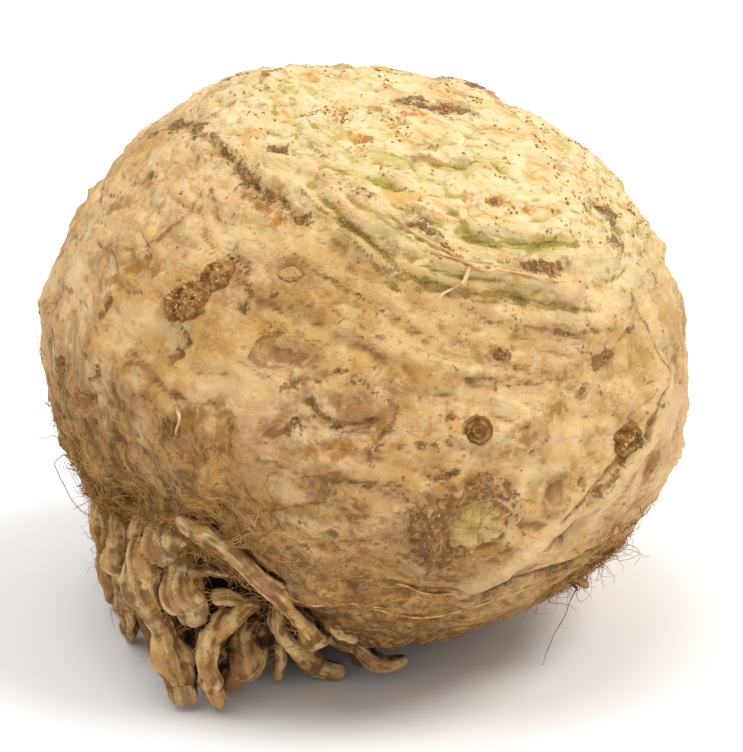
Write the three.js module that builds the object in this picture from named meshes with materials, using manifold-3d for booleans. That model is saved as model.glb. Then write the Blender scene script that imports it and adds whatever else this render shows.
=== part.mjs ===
// A celeriac as dug and trimmed: one swollen bulb that stands on a small flat spot of its underside, with
// its crown leaning to the right, and the side roots that grow out of its lower left. Millimetres, +Z up.
// The front is -Y and the right is +X. A place on the bulb is given by its azimuth, in degrees from the
// front towards the right, and its elevation above the level of the bulb's middle.
import * as THREE from "three";
import { mergeVertices } from "three/addons/utils/BufferGeometryUtils.js";
import Module from "manifold-3d";

const wasm = await Module();
wasm.setup();

// Driving dimensions.
const BULB_RADII = new THREE.Vector3(64.2, 62, 58.5); // half width, half depth and half height, unlumped
const BULB_MIDDLE = 56.5; // height of the bulb's middle above the surface it stands on
const BULB_DETAIL = 14; // each icosahedron edge is cut into one more piece than this
const CLEARANCE = 0.3; // gap between a root and the bulb, and between two roots that touch
const ROOT_SIDES = 8;
const ROOT_RINGS = 14;
const TIP_SHARE = 0.14; // share of a root's length that rounds off into its tip
const KNUCKLE = 0.1; // how far a root's thickness swells and shrinks along it, as a share of its radius
const KNUCKLES = 2.5; // swellings along a root

// Broad lumps and hollows of the bulb: place, height (negative sinks) and the angle over which it fades.
const LUMPS = [
  { azimuth: -112, elevation: 46, height: 3, spread: 30 }, // upper left shoulder
  { azimuth: -133, elevation: 66, height: 1.4, spread: 24 }, // top left
  { azimuth: 112, elevation: 52, height: -0.6, spread: 30 }, // slope beside the crown
  { azimuth: 81, elevation: -23, height: 2.8, spread: 22 }, // lower right bulge
  { azimuth: 66, elevation: -50, height: -2.2, spread: 18 }, // tuck under the bulge
  { azimuth: 34, elevation: -64, height: -3, spread: 20 }, // tuck under the front
  { azimuth: -93, elevation: 12, height: 0.8, spread: 16 }, // left cheek
  { azimuth: -88, elevation: -14, height: -1.2, spread: 12 }, // dip above the roots
  { azimuth: -72, elevation: -42, height: -7.5, spread: 27 }, // root hollow, lower left
  { azimuth: -34, elevation: -44, height: -5, spread: 20 }, // root hollow, lower front
  { azimuth: -130, elevation: -46, height: -5.5, spread: 24 }, // root hollow, back left
  { azimuth: 19, elevation: -10, height: 1.6, spread: 9 }, // stub of a cut root
  { azimuth: -33, elevation: 28, height: 1.3, spread: 8 }, // corky knob, left
  { azimuth: -3, elevation: 12, height: 1.2, spread: 8 }, // knob at the middle
  { azimuth: 48, elevation: 0, height: 1.2, spread: 6 }, // corky knob, right
  { azimuth: 62, elevation: 72, height: -2, spread: 8 }, // dip at the crown
  { azimuth: -45, elevation: 38, height: -1.2, spread: 12 },
  { azimuth: 14, elevation: 24, height: -0.9, spread: 12 },
  { azimuth: 90, elevation: 0, height: -0.8, spread: 14 },
  { azimuth: 160, elevation: 10, height: 1.8, spread: 24 },
  { azimuth: 125, elevation: -12, height: -1.8, spread: 20 },
  { azimuth: -165, elevation: -20, height: -1.6, spread: 20 },
  { azimuth: -150, elevation: 22, height: 1.2, spread: 15 },
  { azimuth: 178, elevation: 48, height: -1.5, spread: 18 },
];

// Rounded folds that run along the skin, through the places listed.
const FOLDS = [
  { places: [[58, 8], [55, 0], [47, -5], [36, -10], [27, -18], [20, -24]], height: 1.7, spread: 5 },
  { places: [[-28, 55], [-11, 52], [-2, 45], [7, 41], [16, 35], [27, 33], [44, 26]], height: 1.1, spread: 5 },
  { places: [[-60, 56], [-45, 54], [-33, 50], [-20, 46]], height: 0.9, spread: 5 },
  { places: [[-12, 30], [3, 27], [16, 21], [30, 17]], height: 0.8, spread: 5 },
  { places: [[-60, 6], [-47, 11], [-36, 12], [-30, 9]], height: 0.9, spread: 5 },
  { places: [[-28, -7], [-22, -12], [-17, -18], [-13, -25], [-11, -32]], height: 1.8, spread: 5 },
  { places: [[108, 30], [130, 36], [155, 33], [178, 24]], height: 1.2, spread: 6 },
  { places: [[-110, -8], [-130, -16], [-152, -14]], height: 1.4, spread: 7 },
];

// Gentle swellings all over the bulb, as waves across it: direction, waves per radian, phase and height.
const SWELLS = [
  { across: [0.8, 0.3, -0.5], waves: 4.1, phase: 0.6, height: 0.45 },
  { across: [-0.2, 0.9, 0.4], waves: 5.3, phase: 2.1, height: 0.4 },
  { across: [0.4, -0.5, 0.8], waves: 7.2, phase: 4.0, height: 0.3 },
  { across: [0.9, 0.4, 0.6], waves: 9.5, phase: 1.2, height: 0.22 },
];

// Side roots. The path is the root's middle line from inside the bulb to its tip, and thick is its diameter
// at the bulb and at the tip.
const SIDE_ROOTS = {
  root_left_back: {
    path: [[-46, -9, 40], [-53, -8, 32], [-53.5, -3, 18], [-53.5, 1, 9], [-53, 2, 1.6]],
    thick: [4.4, 3],
  },
  root_left: {
    path: [[-40, -22, 42], [-47.8, -25.5, 34], [-47.5, -24, 22], [-48, -19, 11], [-48.5, -12, 1.6]],
    thick: [5.6, 3],
  },
  root_front_tall: {
    path: [[-37, -31, 42], [-43, -38, 35], [-40.6, -42, 25], [-38, -43, 16], [-36, -42, 8], [-35, -41, 1.4]],
    thick: [6, 5.2],
  },
  root_behind_tall: {
    path: [[-33, -26, 32], [-39, -35, 25], [-36.5, -38, 18], [-33.8, -38.8, 11.5], [-31.8, -36, 1.6]],
    thick: [4.6, 3],
  },
  root_wedge: {
    path: [[-31, -32, 38], [-36.2, -43, 33.5], [-34.5, -46, 27.5], [-31.2, -46, 19.5]],
    thick: [8.6, 5],
  },
  root_wrinkled: {
    path: [[-16, -32, 27], [-24, -42, 23.5], [-29, -46.4, 17.5], [-29.4, -46.4, 12], [-28.4, -43, 1]],
    thick: [6.6, 2.8],
  },
  root_blunt: {
    path: [[-19, -26, 24], [-22.8, -35.5, 17.5], [-23.2, -38.4, 11], [-23.8, -37, 3.4]],
    thick: [5, 7.2],
  },
  root_cross: {
    path: [[-16, -32, 21], [-21.7, -42.2, 23.8], [-25, -45.6, 25.6], [-29, -47, 26]],
    thick: [3, 2.4],
  },
  root_cross_upper: {
    path: [[-18, -32, 27], [-25.6, -42, 30], [-29.7, -45.6, 31.4], [-33.4, -45.8, 31]],
    thick: [3, 2.4],
  },
  root_long: {
    path: [[-31, -40, 43], [-31, -50, 42], [-23, -54, 37], [-15, -51, 28], [-10.6, -45, 18], [-8, -40, 13.5]],
    thick: [4.2, 3.4],
  },
  root_low: {
    path: [[-13, -32, 24], [-17, -42, 22.5], [-16, -41, 17.5], [-13.6, -38, 11], [-8, -31, 3], [-4, -30, 2]],
    thick: [3.6, 2.6],
  },
  root_short: { path: [[-14, -20, 18], [-5, -30, 9], [3, -32.5, 5.6], [8.5, -32.5, 5.8]], thick: [3.4, 2.8] },
  root_tucked: {
    path: [[-8, -32, 24], [-7, -43.5, 20.5], [-4, -42.2, 17], [-1, -39.5, 14]],
    thick: [3.4, 2.4],
  },
  root_thin: {
    path: [[-10, -28, 18], [-16, -36, 14.5], [-17, -34.5, 8], [-17.2, -32, 1.8]],
    thick: [2.8, 2.2],
  },
  root_back_left_a: { path: [[-47, 14, 36], [-55, 19, 26], [-54, 23, 13], [-49, 25, 2.4]], thick: [6, 4] },
  root_back_left_b: {
    path: [[-40, 27, 34], [-48.5, 34, 24], [-48, 38, 12], [-44, 39, 2.5]],
    thick: [7, 4.6],
  },
  root_back_left_c: {
    path: [[-27, 34, 28], [-35, 43, 20], [-35, 47, 10], [-32, 47, 2.2]],
    thick: [5.4, 3.6],
  },
  root_back: { path: [[-12, 36, 24], [-16, 47.5, 17], [-19.5, 51.5, 9], [-23, 53, 2]], thick: [5, 3] },
  root_under_left: { path: [[-30, 4, 22], [-40, 4.5, 12], [-43, 8, 3]], thick: [6, 4.4] },
  root_under_middle: { path: [[-28, -14, 22], [-38, -18, 13], [-41, -21, 3]], thick: [5.4, 4] },
  root_inner: {
    path: [[-22, -26, 28], [-28.5, -36, 24], [-29.4, -39, 16], [-28, -38, 6], [-27, -36, 1.6]],
    thick: [6, 3.6],
  },
  root_under_front: { path: [[-22, -20, 20], [-27, -26, 11], [-28, -28, 2.8]], thick: [5, 4] },
  root_under_back: { path: [[-18, 22, 18], [-26, 30, 9.5], [-27.5, 34, 2.4]], thick: [5, 3.6] },
  rootlet_right: { path: [[36, -22, 26], [41, -26.4, 20.4], [43.6, -28, 19.4]], thick: [2.6, 1.6] },
  rootlet_right_back: { path: [[40, 20, 24], [46.5, 24, 16], [48, 26.5, 11]], thick: [3, 1.8] },
  rootlet_back: { path: [[14, 40, 24], [17.5, 48, 16], [19.5, 50.5, 11]], thick: [3.2, 2] },
};

const FLESH = new THREE.MeshStandardMaterial({ color: 0xd9b98a, roughness: 0.72, metalness: 0 });
const ROOT_SKIN = new THREE.MeshStandardMaterial({ color: 0xb9935f, roughness: 0.8, metalness: 0 });

function direction(azimuth, elevation) {
  const a = THREE.MathUtils.degToRad(azimuth);
  const e = THREE.MathUtils.degToRad(elevation);
  return new THREE.Vector3(Math.sin(a) * Math.cos(e), -Math.cos(a) * Math.cos(e), Math.sin(e));
}

const angleToPlace = (towards, place) => towards.angleTo(direction(place.azimuth, place.elevation));

const fade = (angle, spread) => Math.exp(-((THREE.MathUtils.radToDeg(angle) / spread) ** 2));

// The angle between a direction and the nearest point of a fold's line of places.
function angleToFold(towards, places) {
  const nearest = new THREE.Vector3();
  const angles = places.slice(1).map((place, i) => {
    const stretch = new THREE.Line3(direction(...places[i]), direction(...place));
    return stretch.closestPointToPoint(towards, true, nearest).angleTo(towards);
  });
  return Math.min(...angles);
}

// How far the bulb's skin is from its middle, in a direction.
function bulbRadius(towards) {
  const egg = 1 / towards.clone().divide(BULB_RADII).length();
  const lumps = LUMPS.map((l) => l.height * fade(angleToPlace(towards, l), l.spread));
  const folds = FOLDS.map((f) => f.height * fade(angleToFold(towards, f.places), f.spread));
  const swells = SWELLS.map(
    (s) => s.height * Math.sin(s.waves * towards.dot(new THREE.Vector3(...s.across)) + s.phase),
  );
  return [egg, ...lumps, ...folds, ...swells].reduce((sum, part) => sum + part);
}

function solidFrom(geometry) {
  geometry.deleteAttribute("normal");
  geometry.deleteAttribute("uv");
  const merged = mergeVertices(geometry, 1e-4);
  const mesh = new wasm.Mesh({
    numProp: 3,
    vertProperties: new Float32Array(merged.attributes.position.array),
    triVerts: new Uint32Array(merged.index.array),
  });
  return new wasm.Manifold(mesh);
}

function geometryFrom(solid) {
  const { vertProperties, triVerts } = solid.getMesh();
  const geometry = new THREE.BufferGeometry();
  geometry.setAttribute("position", new THREE.BufferAttribute(vertProperties, 3));
  geometry.setIndex(new THREE.BufferAttribute(triVerts, 1));
  geometry.computeVertexNormals();
  return geometry;
}

// The bulb before its foot is cut flat, swollen by grow on every side.
function wholeBulb(grow) {
  const geometry = new THREE.IcosahedronGeometry(1, BULB_DETAIL);
  const corners = geometry.attributes.position;
  const towards = new THREE.Vector3();
  for (let i = 0; i < corners.count; i++) {
    towards.fromBufferAttribute(corners, i).normalize();
    towards.multiplyScalar(bulbRadius(towards) + grow);
    corners.setXYZ(i, towards.x, towards.y, towards.z + BULB_MIDDLE);
  }
  return solidFrom(geometry);
}

// A root's radius at a share of the way from the bulb to its tip.
function rootRadius([bulbEnd, tipEnd], share) {
  const body = THREE.MathUtils.lerp(bulbEnd, tipEnd, share) / 2;
  const intoTip = Math.max(0, (share - 1 + TIP_SHARE) / TIP_SHARE);
  return body * (1 + KNUCKLE * Math.sin(2 * Math.PI * KNUCKLES * share)) * Math.sqrt(1 - intoTip ** 2);
}

// A turned shape bent along the root's path, swollen by grow on every side.
function rootSolid({ path, thick }, grow) {
  const line = new THREE.CatmullRomCurve3(path.map((p) => new THREE.Vector3(...p)), false, "centripetal");
  const frames = line.computeFrenetFrames(ROOT_RINGS, false);
  const shares = Array.from({ length: ROOT_RINGS + 1 }, (_, ring) => ring / ROOT_RINGS);
  const profile = shares.map((share) => new THREE.Vector2(rootRadius(thick, share) + grow, share));
  profile[ROOT_RINGS].x = 0;
  profile.unshift(new THREE.Vector2(0, 0));
  const geometry = new THREE.LatheGeometry(profile, ROOT_SIDES);
  const corners = geometry.attributes.position;
  const corner = new THREE.Vector3();
  for (let i = 0; i < corners.count; i++) {
    const [across, share, along] = [corners.getX(i), corners.getY(i), corners.getZ(i)];
    const ring = Math.round(share * ROOT_RINGS);
    line.getPointAt(ring / ROOT_RINGS, corner);
    corner.addScaledVector(frames.binormals[ring], across);
    corner.addScaledVector(frames.normals[ring], along);
    corners.setXYZ(i, corner.x, corner.y, corner.z);
  }
  return solidFrom(geometry);
}

const largestBody = (solid) => solid.decompose().reduce((a, b) => (b.volume() > a.volume() ? b : a));

// Everything below the surface that the celeriac stands on.
const GROUND = new THREE.BoxGeometry(400, 400, 100).translate(0, 0, -50);
const ground = solidFrom(GROUND);

const celeriac = new THREE.Group();
const standing = new THREE.Group();
celeriac.add(standing);

function addPiece(name, solid, material) {
  const piece = new THREE.Mesh(geometryFrom(solid), material);
  piece.name = name;
  standing.add(piece);
}

addPiece("bulb", wholeBulb(0).subtract(ground), FLESH);

// Each root is cut back from the bulb, the ground and the roots made before it.
let taken = wholeBulb(CLEARANCE).add(ground);
for (const [name, root] of Object.entries(SIDE_ROOTS)) {
  addPiece(name, largestBody(rootSolid(root, 0).subtract(taken)), ROOT_SKIN);
  taken = taken.add(rootSolid(root, CLEARANCE));
}

// The origin is on the surface it stands on, under the middle of the whole celeriac.
const middle = new THREE.Box3().setFromObject(standing).getCenter(new THREE.Vector3());
standing.position.set(-middle.x, -middle.y, 0);

export default celeriac;
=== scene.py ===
"""A celeriac as dug and trimmed: a lumpy bulb with corky scars, a tangle of side roots and dry root hairs.

Metres, +Z up, the front is -Y and the right is +X. A place on the bulb is given as (azimuth, elevation) in
degrees, as on a globe: azimuth from the front towards the right, elevation above the level of its middle.
Sizes on the skin are in millimetres.
"""
import heapq
import itertools
import math
import bpy
import numpy as np
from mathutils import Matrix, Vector
from mathutils.bvhtree import BVHTree


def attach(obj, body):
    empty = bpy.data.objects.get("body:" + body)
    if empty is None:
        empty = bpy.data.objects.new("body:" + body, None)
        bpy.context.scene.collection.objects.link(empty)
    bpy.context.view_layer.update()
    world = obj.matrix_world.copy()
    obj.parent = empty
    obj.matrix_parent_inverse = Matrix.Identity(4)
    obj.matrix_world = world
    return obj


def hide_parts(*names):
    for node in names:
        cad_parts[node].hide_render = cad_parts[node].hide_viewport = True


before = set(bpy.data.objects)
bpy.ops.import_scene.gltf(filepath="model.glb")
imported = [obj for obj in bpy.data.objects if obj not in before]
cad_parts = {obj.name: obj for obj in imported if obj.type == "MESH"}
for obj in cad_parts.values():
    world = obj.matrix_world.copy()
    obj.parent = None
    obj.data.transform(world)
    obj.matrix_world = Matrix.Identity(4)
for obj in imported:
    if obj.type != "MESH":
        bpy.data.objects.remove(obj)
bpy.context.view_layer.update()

MM = 0.001
BULB_MIDDLE = np.array([0.0, -0.00084, 0.0565])
SKIN_RADIUS = 60.0  # mm from the bulb's middle, taken as its skin's distance where lengths are measured
SKIN_CELLS = 126  # squares along each edge of the ball that the skin is drawn on
EVENING_ROUNDS = 60
CROWN = (90, 72)  # place that the growth rings run round
ROOT_SIDE = (-62, -62)  # middle of the brown earthy side
SWEEP = (20, 24)  # place that the earthy side's fibres and folds curve round
SEED = 11


# ---- Places, noise and lines on the bulb -----------------------------------------------------------------

def toward(azimuth, elevation):
    """The direction of a place, from the bulb's middle."""
    a, e = math.radians(azimuth), math.radians(elevation)
    return np.array([math.sin(a) * math.cos(e), -math.cos(a) * math.cos(e), math.sin(e)])


def unit(vectors):
    return vectors / np.linalg.norm(vectors, axis=-1, keepdims=True)


def step(values, low, high):
    """0 at low, 1 at high and a smooth slope between them. High may be the smaller one."""
    share = np.clip((values - low) / (high - low), 0, 1)
    return share * share * (3 - 2 * share)


def lattice_mix(whole, seed):
    """A well mixed whole number for each corner of a lattice."""
    mixed = whole[:, 0] * 73856093 ^ whole[:, 1] * 19349663 ^ whole[:, 2] * 83492791 ^ (seed * 2654435761)
    mixed = ((mixed & 0xFFFFFFFF) ^ ((mixed & 0xFFFFFFFF) >> 15)) * 2246822519 & 0xFFFFFFFF
    return (mixed ^ (mixed >> 13)) * 3266489917 & 0xFFFFFFFF


def noise(points, size, seed):
    """Smooth random hills, from about -1 to 1, as wide as size in the points' own unit."""
    points = points / size + 1000.5
    corner = np.floor(points).astype(np.int64)
    inside = points - corner
    ease = inside ** 3 * (inside * (inside * 6 - 15) + 10)
    total = np.zeros(len(points))
    for shift in itertools.product((0, 1), repeat=3):
        mixed = lattice_mix(corner + shift, seed)
        turn = (mixed & 0xFFFF) * (2 * math.pi / 65536)
        rise = (mixed >> 16) / 32768 - 1
        flat = np.sqrt(1 - np.minimum(rise * rise, 1))
        slope = np.stack([flat * np.cos(turn), flat * np.sin(turn), rise], axis=1)
        weight = np.prod(np.where(shift, ease, 1 - ease), axis=1)
        total += weight * np.sum(slope * (inside - shift), axis=1)
    return total * 1.6


def layered(points, size, seed, layers=3):
    """Hills with smaller hills on them."""
    return sum(noise(points, size / 2 ** n, seed + n) / 2 ** n for n in range(layers)) / 1.5


def wandering(directions, reach, size, seed):
    """The directions, each pushed a little to the side, so that what is drawn on them has ragged edges."""
    push = [noise(directions * SKIN_RADIUS, size, seed + n) for n in range(3)]
    return unit(directions + np.stack(push, axis=1) * reach / SKIN_RADIUS)


def along_axis(directions, place, stretch):
    """Points in mm whose height above a place's plane is stretched, so that noise on them runs in rings."""
    axis = toward(*place)
    height = directions @ axis
    return (directions + np.outer(height * (stretch - 1), axis)) * SKIN_RADIUS


def smooth_path(points, steps=6):
    """Points on a smooth curve through the given ones."""
    points = np.asarray(points, float)
    ends = np.vstack([2 * points[0] - points[1], points, 2 * points[-1] - points[-2]])
    made = []
    for a, b, c, d in zip(ends, ends[1:], ends[2:], ends[3:]):
        for t in np.arange(steps) / steps:
            cubic = (-a + 3 * b - 3 * c + d) * t ** 3
            square = (2 * a - 5 * b + 4 * c - d) * t ** 2
            made.append((cubic + square + (c - a) * t) / 2 + b)
    return np.array([*made, points[-1]])


def distance_to_line(directions, places):
    """Millimetres across the skin to a line through places."""
    line = unit(smooth_path([toward(*place) for place in places]))
    nearest = np.full(len(directions), 9.0)
    for start, end in zip(line, line[1:]):
        run = end - start
        share = np.clip((directions - start) @ run / (run @ run), 0, 1)
        gap = np.linalg.norm(directions - start - share[:, None] * run, axis=1)
        nearest = np.minimum(nearest, gap)
    return nearest * SKIN_RADIUS


def tangents(place):
    """At a place: the direction out of the skin, towards growing azimuth, and up the skin."""
    out = toward(*place)
    azimuth = math.radians(place[0])
    right = np.array([math.cos(azimuth), math.sin(azimuth), 0.0])
    return out, right, np.cross(out, right)


def distance_to_mark(directions, place, half_length, half_width, turn):
    """0 at an oval mark's middle and 1 on its edge. Turn raises its right end, in degrees."""
    out, right, up = tangents(place)
    x, y = directions @ right * SKIN_RADIUS, directions @ up * SKIN_RADIUS
    c, s = math.cos(math.radians(turn)), math.sin(math.radians(turn))
    far = np.hypot((x * c + y * s) / half_length, (y * c - x * s) / half_width)
    return np.where(directions @ out > 0, far, 99.0)


# ---- What the skin bears ---------------------------------------------------------------------------------

# Lines on the skin: the places they run through, half width and height in mm (a furrow's is negative).
RIGHT_FOLD = [(58, 8), (55, 0), (47, -5), (36, -10), (27, -18), (20, -23)]
RIDGES = [
    ([(-28, 55), (-19, 54), (-11, 52), (-5, 47), (-2, 45), (3, 42)], 1.5, 0.75),
    ([(-9, 48), (-1, 45), (7, 41), (12, 38), (16, 35), (21, 34), (27, 33), (32, 31), (44, 26)], 1.3, 0.8),
    ([(-8, 42), (-2, 41), (3, 37), (9, 32)], 1.2, 0.6),
    (RIGHT_FOLD, 2.6, 1.5),
    ([(18, 17), (24, 16), (31, 14)], 1.0, 0.4),
    ([(22, 44), (30, 42), (38, 39), (50, 37)], 1.6, 0.6),
    ([(-12, 14), (-6, 16), (-2, 17), (2, 14), (5, 11), (4, 7), (0, 5)], 1.5, 0.8),
    ([(-20, 20), (-16, 22), (-9, 21), (-6, 19)], 1.1, 0.4),
    ([(-16, 1), (-5, 3), (0, 2), (5, 1), (8, -2), (9, -6)], 1.6, 0.8),
    ([(-46, 11), (-41, 15), (-34, 13), (-29, 12)], 1.6, 0.6),
    ([(-26, 34), (-22, 31), (-21, 27)], 1.0, 0.5),
    ([(-17, 49), (-7, 43), (1, 38), (8, 33), (14, 29)], 1.6, 0.6),
    ([(-23, 31), (-12, 30), (-3, 26), (4, 23), (10, 19), (15, 16)], 2.2, 0.6),
    ([(11, 34), (20, 28), (29, 24), (40, 21), (52, 19)], 1.8, 0.6),
    ([(95, 35), (112, 40), (133, 38), (150, 30)], 1.6, 0.7),
    ([(125, 22), (145, 27), (165, 22), (178, 12)], 1.5, 0.7),
    ([(-178, 48), (-160, 50), (-140, 44), (-120, 46)], 1.5, 0.6),
    ([(-100, 30), (-118, 26), (-135, 30)], 1.4, 0.5),
    ([(150, -4), (168, -10), (-172, -8)], 1.8, 0.7),
    ([(88, 14), (96, 2), (104, -8), (118, -14)], 2.0, 0.7),
]
FURROWS = [
    ([(-60, 55), (-45, 54), (-33, 50), (-25, 47), (-20, 46), (-14, 43)], 0.7, -0.4),
    ([(23, 45), (24, 41), (28, 39), (33, 37), (39, 36), (50, 34)], 1.4, -0.8),
    ([(-9, 55), (-1, 54), (7, 52), (13, 50)], 1.0, -0.5),
    ([(15, 56), (19, 53), (24, 50), (28, 49)], 1.0, -0.4),
    ([(19, 59), (25, 56), (32, 54)], 1.1, -0.5),
    ([(-6, 44), (0, 41), (6, 36), (12, 32), (20, 30), (30, 28), (42, 23)], 1.3, -0.6),
    ([(19, 15), (25, 14), (32, 13)], 0.9, -0.35),
    ([(-9, 13), (-7, 11), (-3, 9), (1, 10)], 0.8, -0.6),
    ([(-34, 21), (-33, 19), (-35, 16)], 0.9, -0.4),
    ([(57, 5), (53, 0), (46, -3), (39, -7), (34, -11)], 0.8, -0.5),
    ([(24, -26), (33, -25), (44, -26), (56, -24)], 1.2, -0.8),
    ([(-62, 4), (-56, 4), (-51, 7)], 0.8, -0.4),
    ([(-31, 9), (-30, 5), (-28, 1)], 1.2, -0.5),
    ([(-22, 28), (-12, 27), (-3, 23), (4, 20), (10, 16)], 1.3, -0.25),
    ([(-7, 38), (1, 32), (8, 26), (13, 21)], 1.1, -0.3),
    ([(14, 24), (20, 19), (27, 16), (35, 13)], 1.1, -0.4),
    ([(100, 30), (118, 34), (136, 32), (150, 24)], 1.2, -0.6),
    ([(-150, 20), (-166, 22), (178, 17)], 1.2, -0.6),
    ([(160, 44), (176, 40), (-168, 38)], 1.1, -0.5),
    ([(-88, 34), (-102, 38), (-116, 34)], 1.0, -0.4),
]

# Thin brown creases: the places they run through.
CREASES = [
    [(-20, 19), (-19, 22), (-14, 23), (-9, 22), (-7, 20)],
    [(-14, 14), (-9, 16), (-4, 18), (0, 16), (4, 12), (4, 8), (0, 5)],
    [(-9, 13), (-7, 10), (-3, 8), (1, 9)],
    [(-20, 40), (-12, 35), (-3, 31), (6, 26), (12, 22)],
    [(-12, 29), (-6, 28), (0, 25), (4, 23)],
    [(-48, 9), (-45, 13), (-40, 14), (-36, 11), (-32, 10)],
    [(-29, 34), (-25, 33), (-22, 30), (-23, 27)],
    [(2, 45), (10, 40), (15, 37), (20, 35), (27, 34)],
    [(-2, 39), (6, 34), (14, 30), (24, 28), (36, 25), (46, 22)],
    [(18, 16), (24, 14), (32, 13)],
    [(58, 22), (60, 14), (58, 6), (52, 0), (45, -5), (38, -9)],
    [(14, -3), (20, -2), (26, -6), (27, -12)],
    [(-18, 2), (-8, 0), (2, -1), (8, -4), (10, -9)],
    [(-28, -4), (-18, -6), (-6, -5), (4, -8)],
    [(-24, -12), (-12, -14), (0, -12), (8, -16)],
    [(-14, -22), (-2, -20), (12, -24), (26, -22)],
    [(-64, 4), (-58, 3), (-52, 5)],
    [(-73, 10), (-70, 6), (-66, 2)],
    [(-15, 48), (-8, 44), (-3, 40)],
    [(-42, 47), (-36, 42), (-30, 41)],
    [(-58, 31), (-50, 34), (-46, 40), (-45, 46)],
    [(3, 16), (5, 13), (4, 9), (2, 6)],
    [(12, 33), (20, 27), (29, 23), (40, 20), (52, 18)],
    [(-27, 11), (-23, 7), (-22, 2)],
    [(110, 20), (122, 24), (136, 22)],
    [(-145, 4), (-158, 6), (-170, 2)],
    [(160, 14), (172, 18), (-174, 14)],
    [(100, -14), (116, -18), (134, -16)],
    [(-104, 16), (-116, 12), (-128, 15)],
    [(128, 52), (150, 54), (172, 50)],
]

# Corky cracks: the places they run through, half width in mm and strength.
CRACKS = [
    ([(-62, 56), (-52, 56), (-45, 54), (-38, 52)], 1.2, 0.45),
    ([(-38, 52), (-33, 50), (-27, 48), (-22, 47)], 1.6, 0.5),
    ([(-24, 47), (-19, 46), (-14, 43)], 1.3, 0.5),
    ([(-88, 48), (-84, 53), (-76, 56), (-64, 57)], 1.3, 0.55),
    ([(57, 4), (52, 0), (46, -4), (39, -7)], 0.7, 0.42),
    ([(24, -26), (33, -25), (44, -26), (54, -24)], 1.4, 0.6),
    ([(-29, 36), (-25, 34), (-22, 30), (-24, 26)], 1.1, 0.45),
    ([(-34, 22), (-33, 20), (-35, 17)], 0.8, 0.4),
    ([(-13, 15), (-8, 16), (-4, 17)], 0.9, 0.4),
    ([(3, 11), (4, 8), (1, 5)], 0.9, 0.35),
    ([(-13, 8), (-9, 10), (-4, 9)], 0.8, 0.4),
    ([(52, 76), (58, 72), (66, 66)], 1.6, 0.65),
    ([(62, 39), (65, 36), (64, 31)], 0.9, 0.55),
    ([(15, 44), (17, 40), (20, 36)], 0.9, 0.5),
    ([(-73, 12), (-67, 8), (-65, 3)], 1.2, 0.6),
    ([(-66, 3), (-60, 4), (-54, 5)], 0.8, 0.45),
    ([(122, 30), (132, 33), (144, 31)], 1.4, 0.7),
    ([(-150, 36), (-162, 38), (-172, 35)], 1.5, 0.7),
    ([(170, 2), (178, 5), (-176, 3)], 1.0, 0.6),
]

# Soft brown stains: place, half length and half width in mm, turn in degrees and strength.
STAIN_MARKS = [
    ((-60, 28), 6.5, 4.5, 60, 0.9), ((-15, 33.5), 3.6, 2.8, 0, 0.8), ((-14, 19), 5.0, 2.0, 4, 0.8),
    ((-68, 38), 5.0, 3.5, 40, 0.8), ((-56, 42), 4.0, 3.0, 20, 0.7), ((-73, 20), 4.0, 6.0, 0, 0.6),
    ((-50, 30), 4.5, 2.5, 10, 0.7), ((-26, 48), 10, 3.2, -30, 0.8), ((-40, 53), 7.0, 2.2, -10, 0.7),
    ((-70, 55), 8.0, 2.8, 10, 0.7), ((-8, 30), 5.0, 2.4, -10, 0.6), ((0, 28), 6.0, 2.0, -15, 0.5),
    ((-30, 30), 7.0, 6.0, 50, 0.5), ((-58, 6), 7.0, 6.0, 0, 0.7), ((-48, 8), 5.0, 5.0, 0, 0.5),
    ((-30, 5), 6.0, 6.0, 0, 0.7), ((-12, 9), 9.0, 4.0, 10, 0.6), ((-14, 1), 8.0, 3.0, 5, 0.7),
    ((-2, 5), 5.0, 3.0, 0, 0.5), ((10, 3), 6.0, 3.5, 0, 0.6), ((14, -3), 8.0, 3.0, 0, 0.8),
    ((8, -10), 6.0, 7.0, 0, 0.9), ((12, -18), 8.0, 4.0, 0, 0.9), ((28, -13), 3.5, 3.0, 0, 0.5),
    ((38, -14), 9.0, 3.0, 40, 0.9), ((56, -18), 8.0, 3.5, 50, 0.9), ((22, -24), 14, 3.5, 5, 1.0),
    ((-6, 2), 12, 5.0, -8, 0.75), ((-20, -8), 10, 5.0, -20, 0.7), ((-2, 12), 13, 6.0, 0, 0.7),
    ((-52, -2), 12, 6.0, 10, 0.6), ((-64, 10), 6, 8.0, 0, 0.6), ((46, 12), 4.0, 4.0, 0, 0.5),
    ((35, 9), 3.0, 2.6, 30, 0.6), ((33, -6), 4.6, 3.2, 65, 0.5), ((60, -8), 3.6, 2.6, 60, 0.7),
    ((48, -1), 4.5, 4.0, 0, 0.6), ((28, 5), 3.4, 3.2, 0, 0.6), ((24, 18), 4.0, 2.6, -20, 0.5),
    ((22, 22), 4.0, 2.0, -20, 0.5), ((36, 32), 6.5, 2.6, -10, 0.8), ((28, 36), 5.0, 1.6, -30, 0.5),
    ((58, 34), 4.0, 4.0, 0, 0.5), ((12, 45), 4.0, 3.0, -20, 0.6), ((-4, 50), 6.0, 3.0, -30, 0.6),
    ((58, 73), 8.5, 3.4, -22, 1.0), ((36, 76), 7.0, 2.5, -10, 0.8), ((10, 74), 8.0, 2.6, -10, 0.6),
    ((-20, 68), 6.0, 2.5, 0, 0.5), ((-60, 66), 5.0, 2.5, 0, 0.5), ((65, 10), 3.0, 6.0, 0, 0.5),
    ((66, 24), 3.0, 5.0, 0, 0.4),
]

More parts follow.
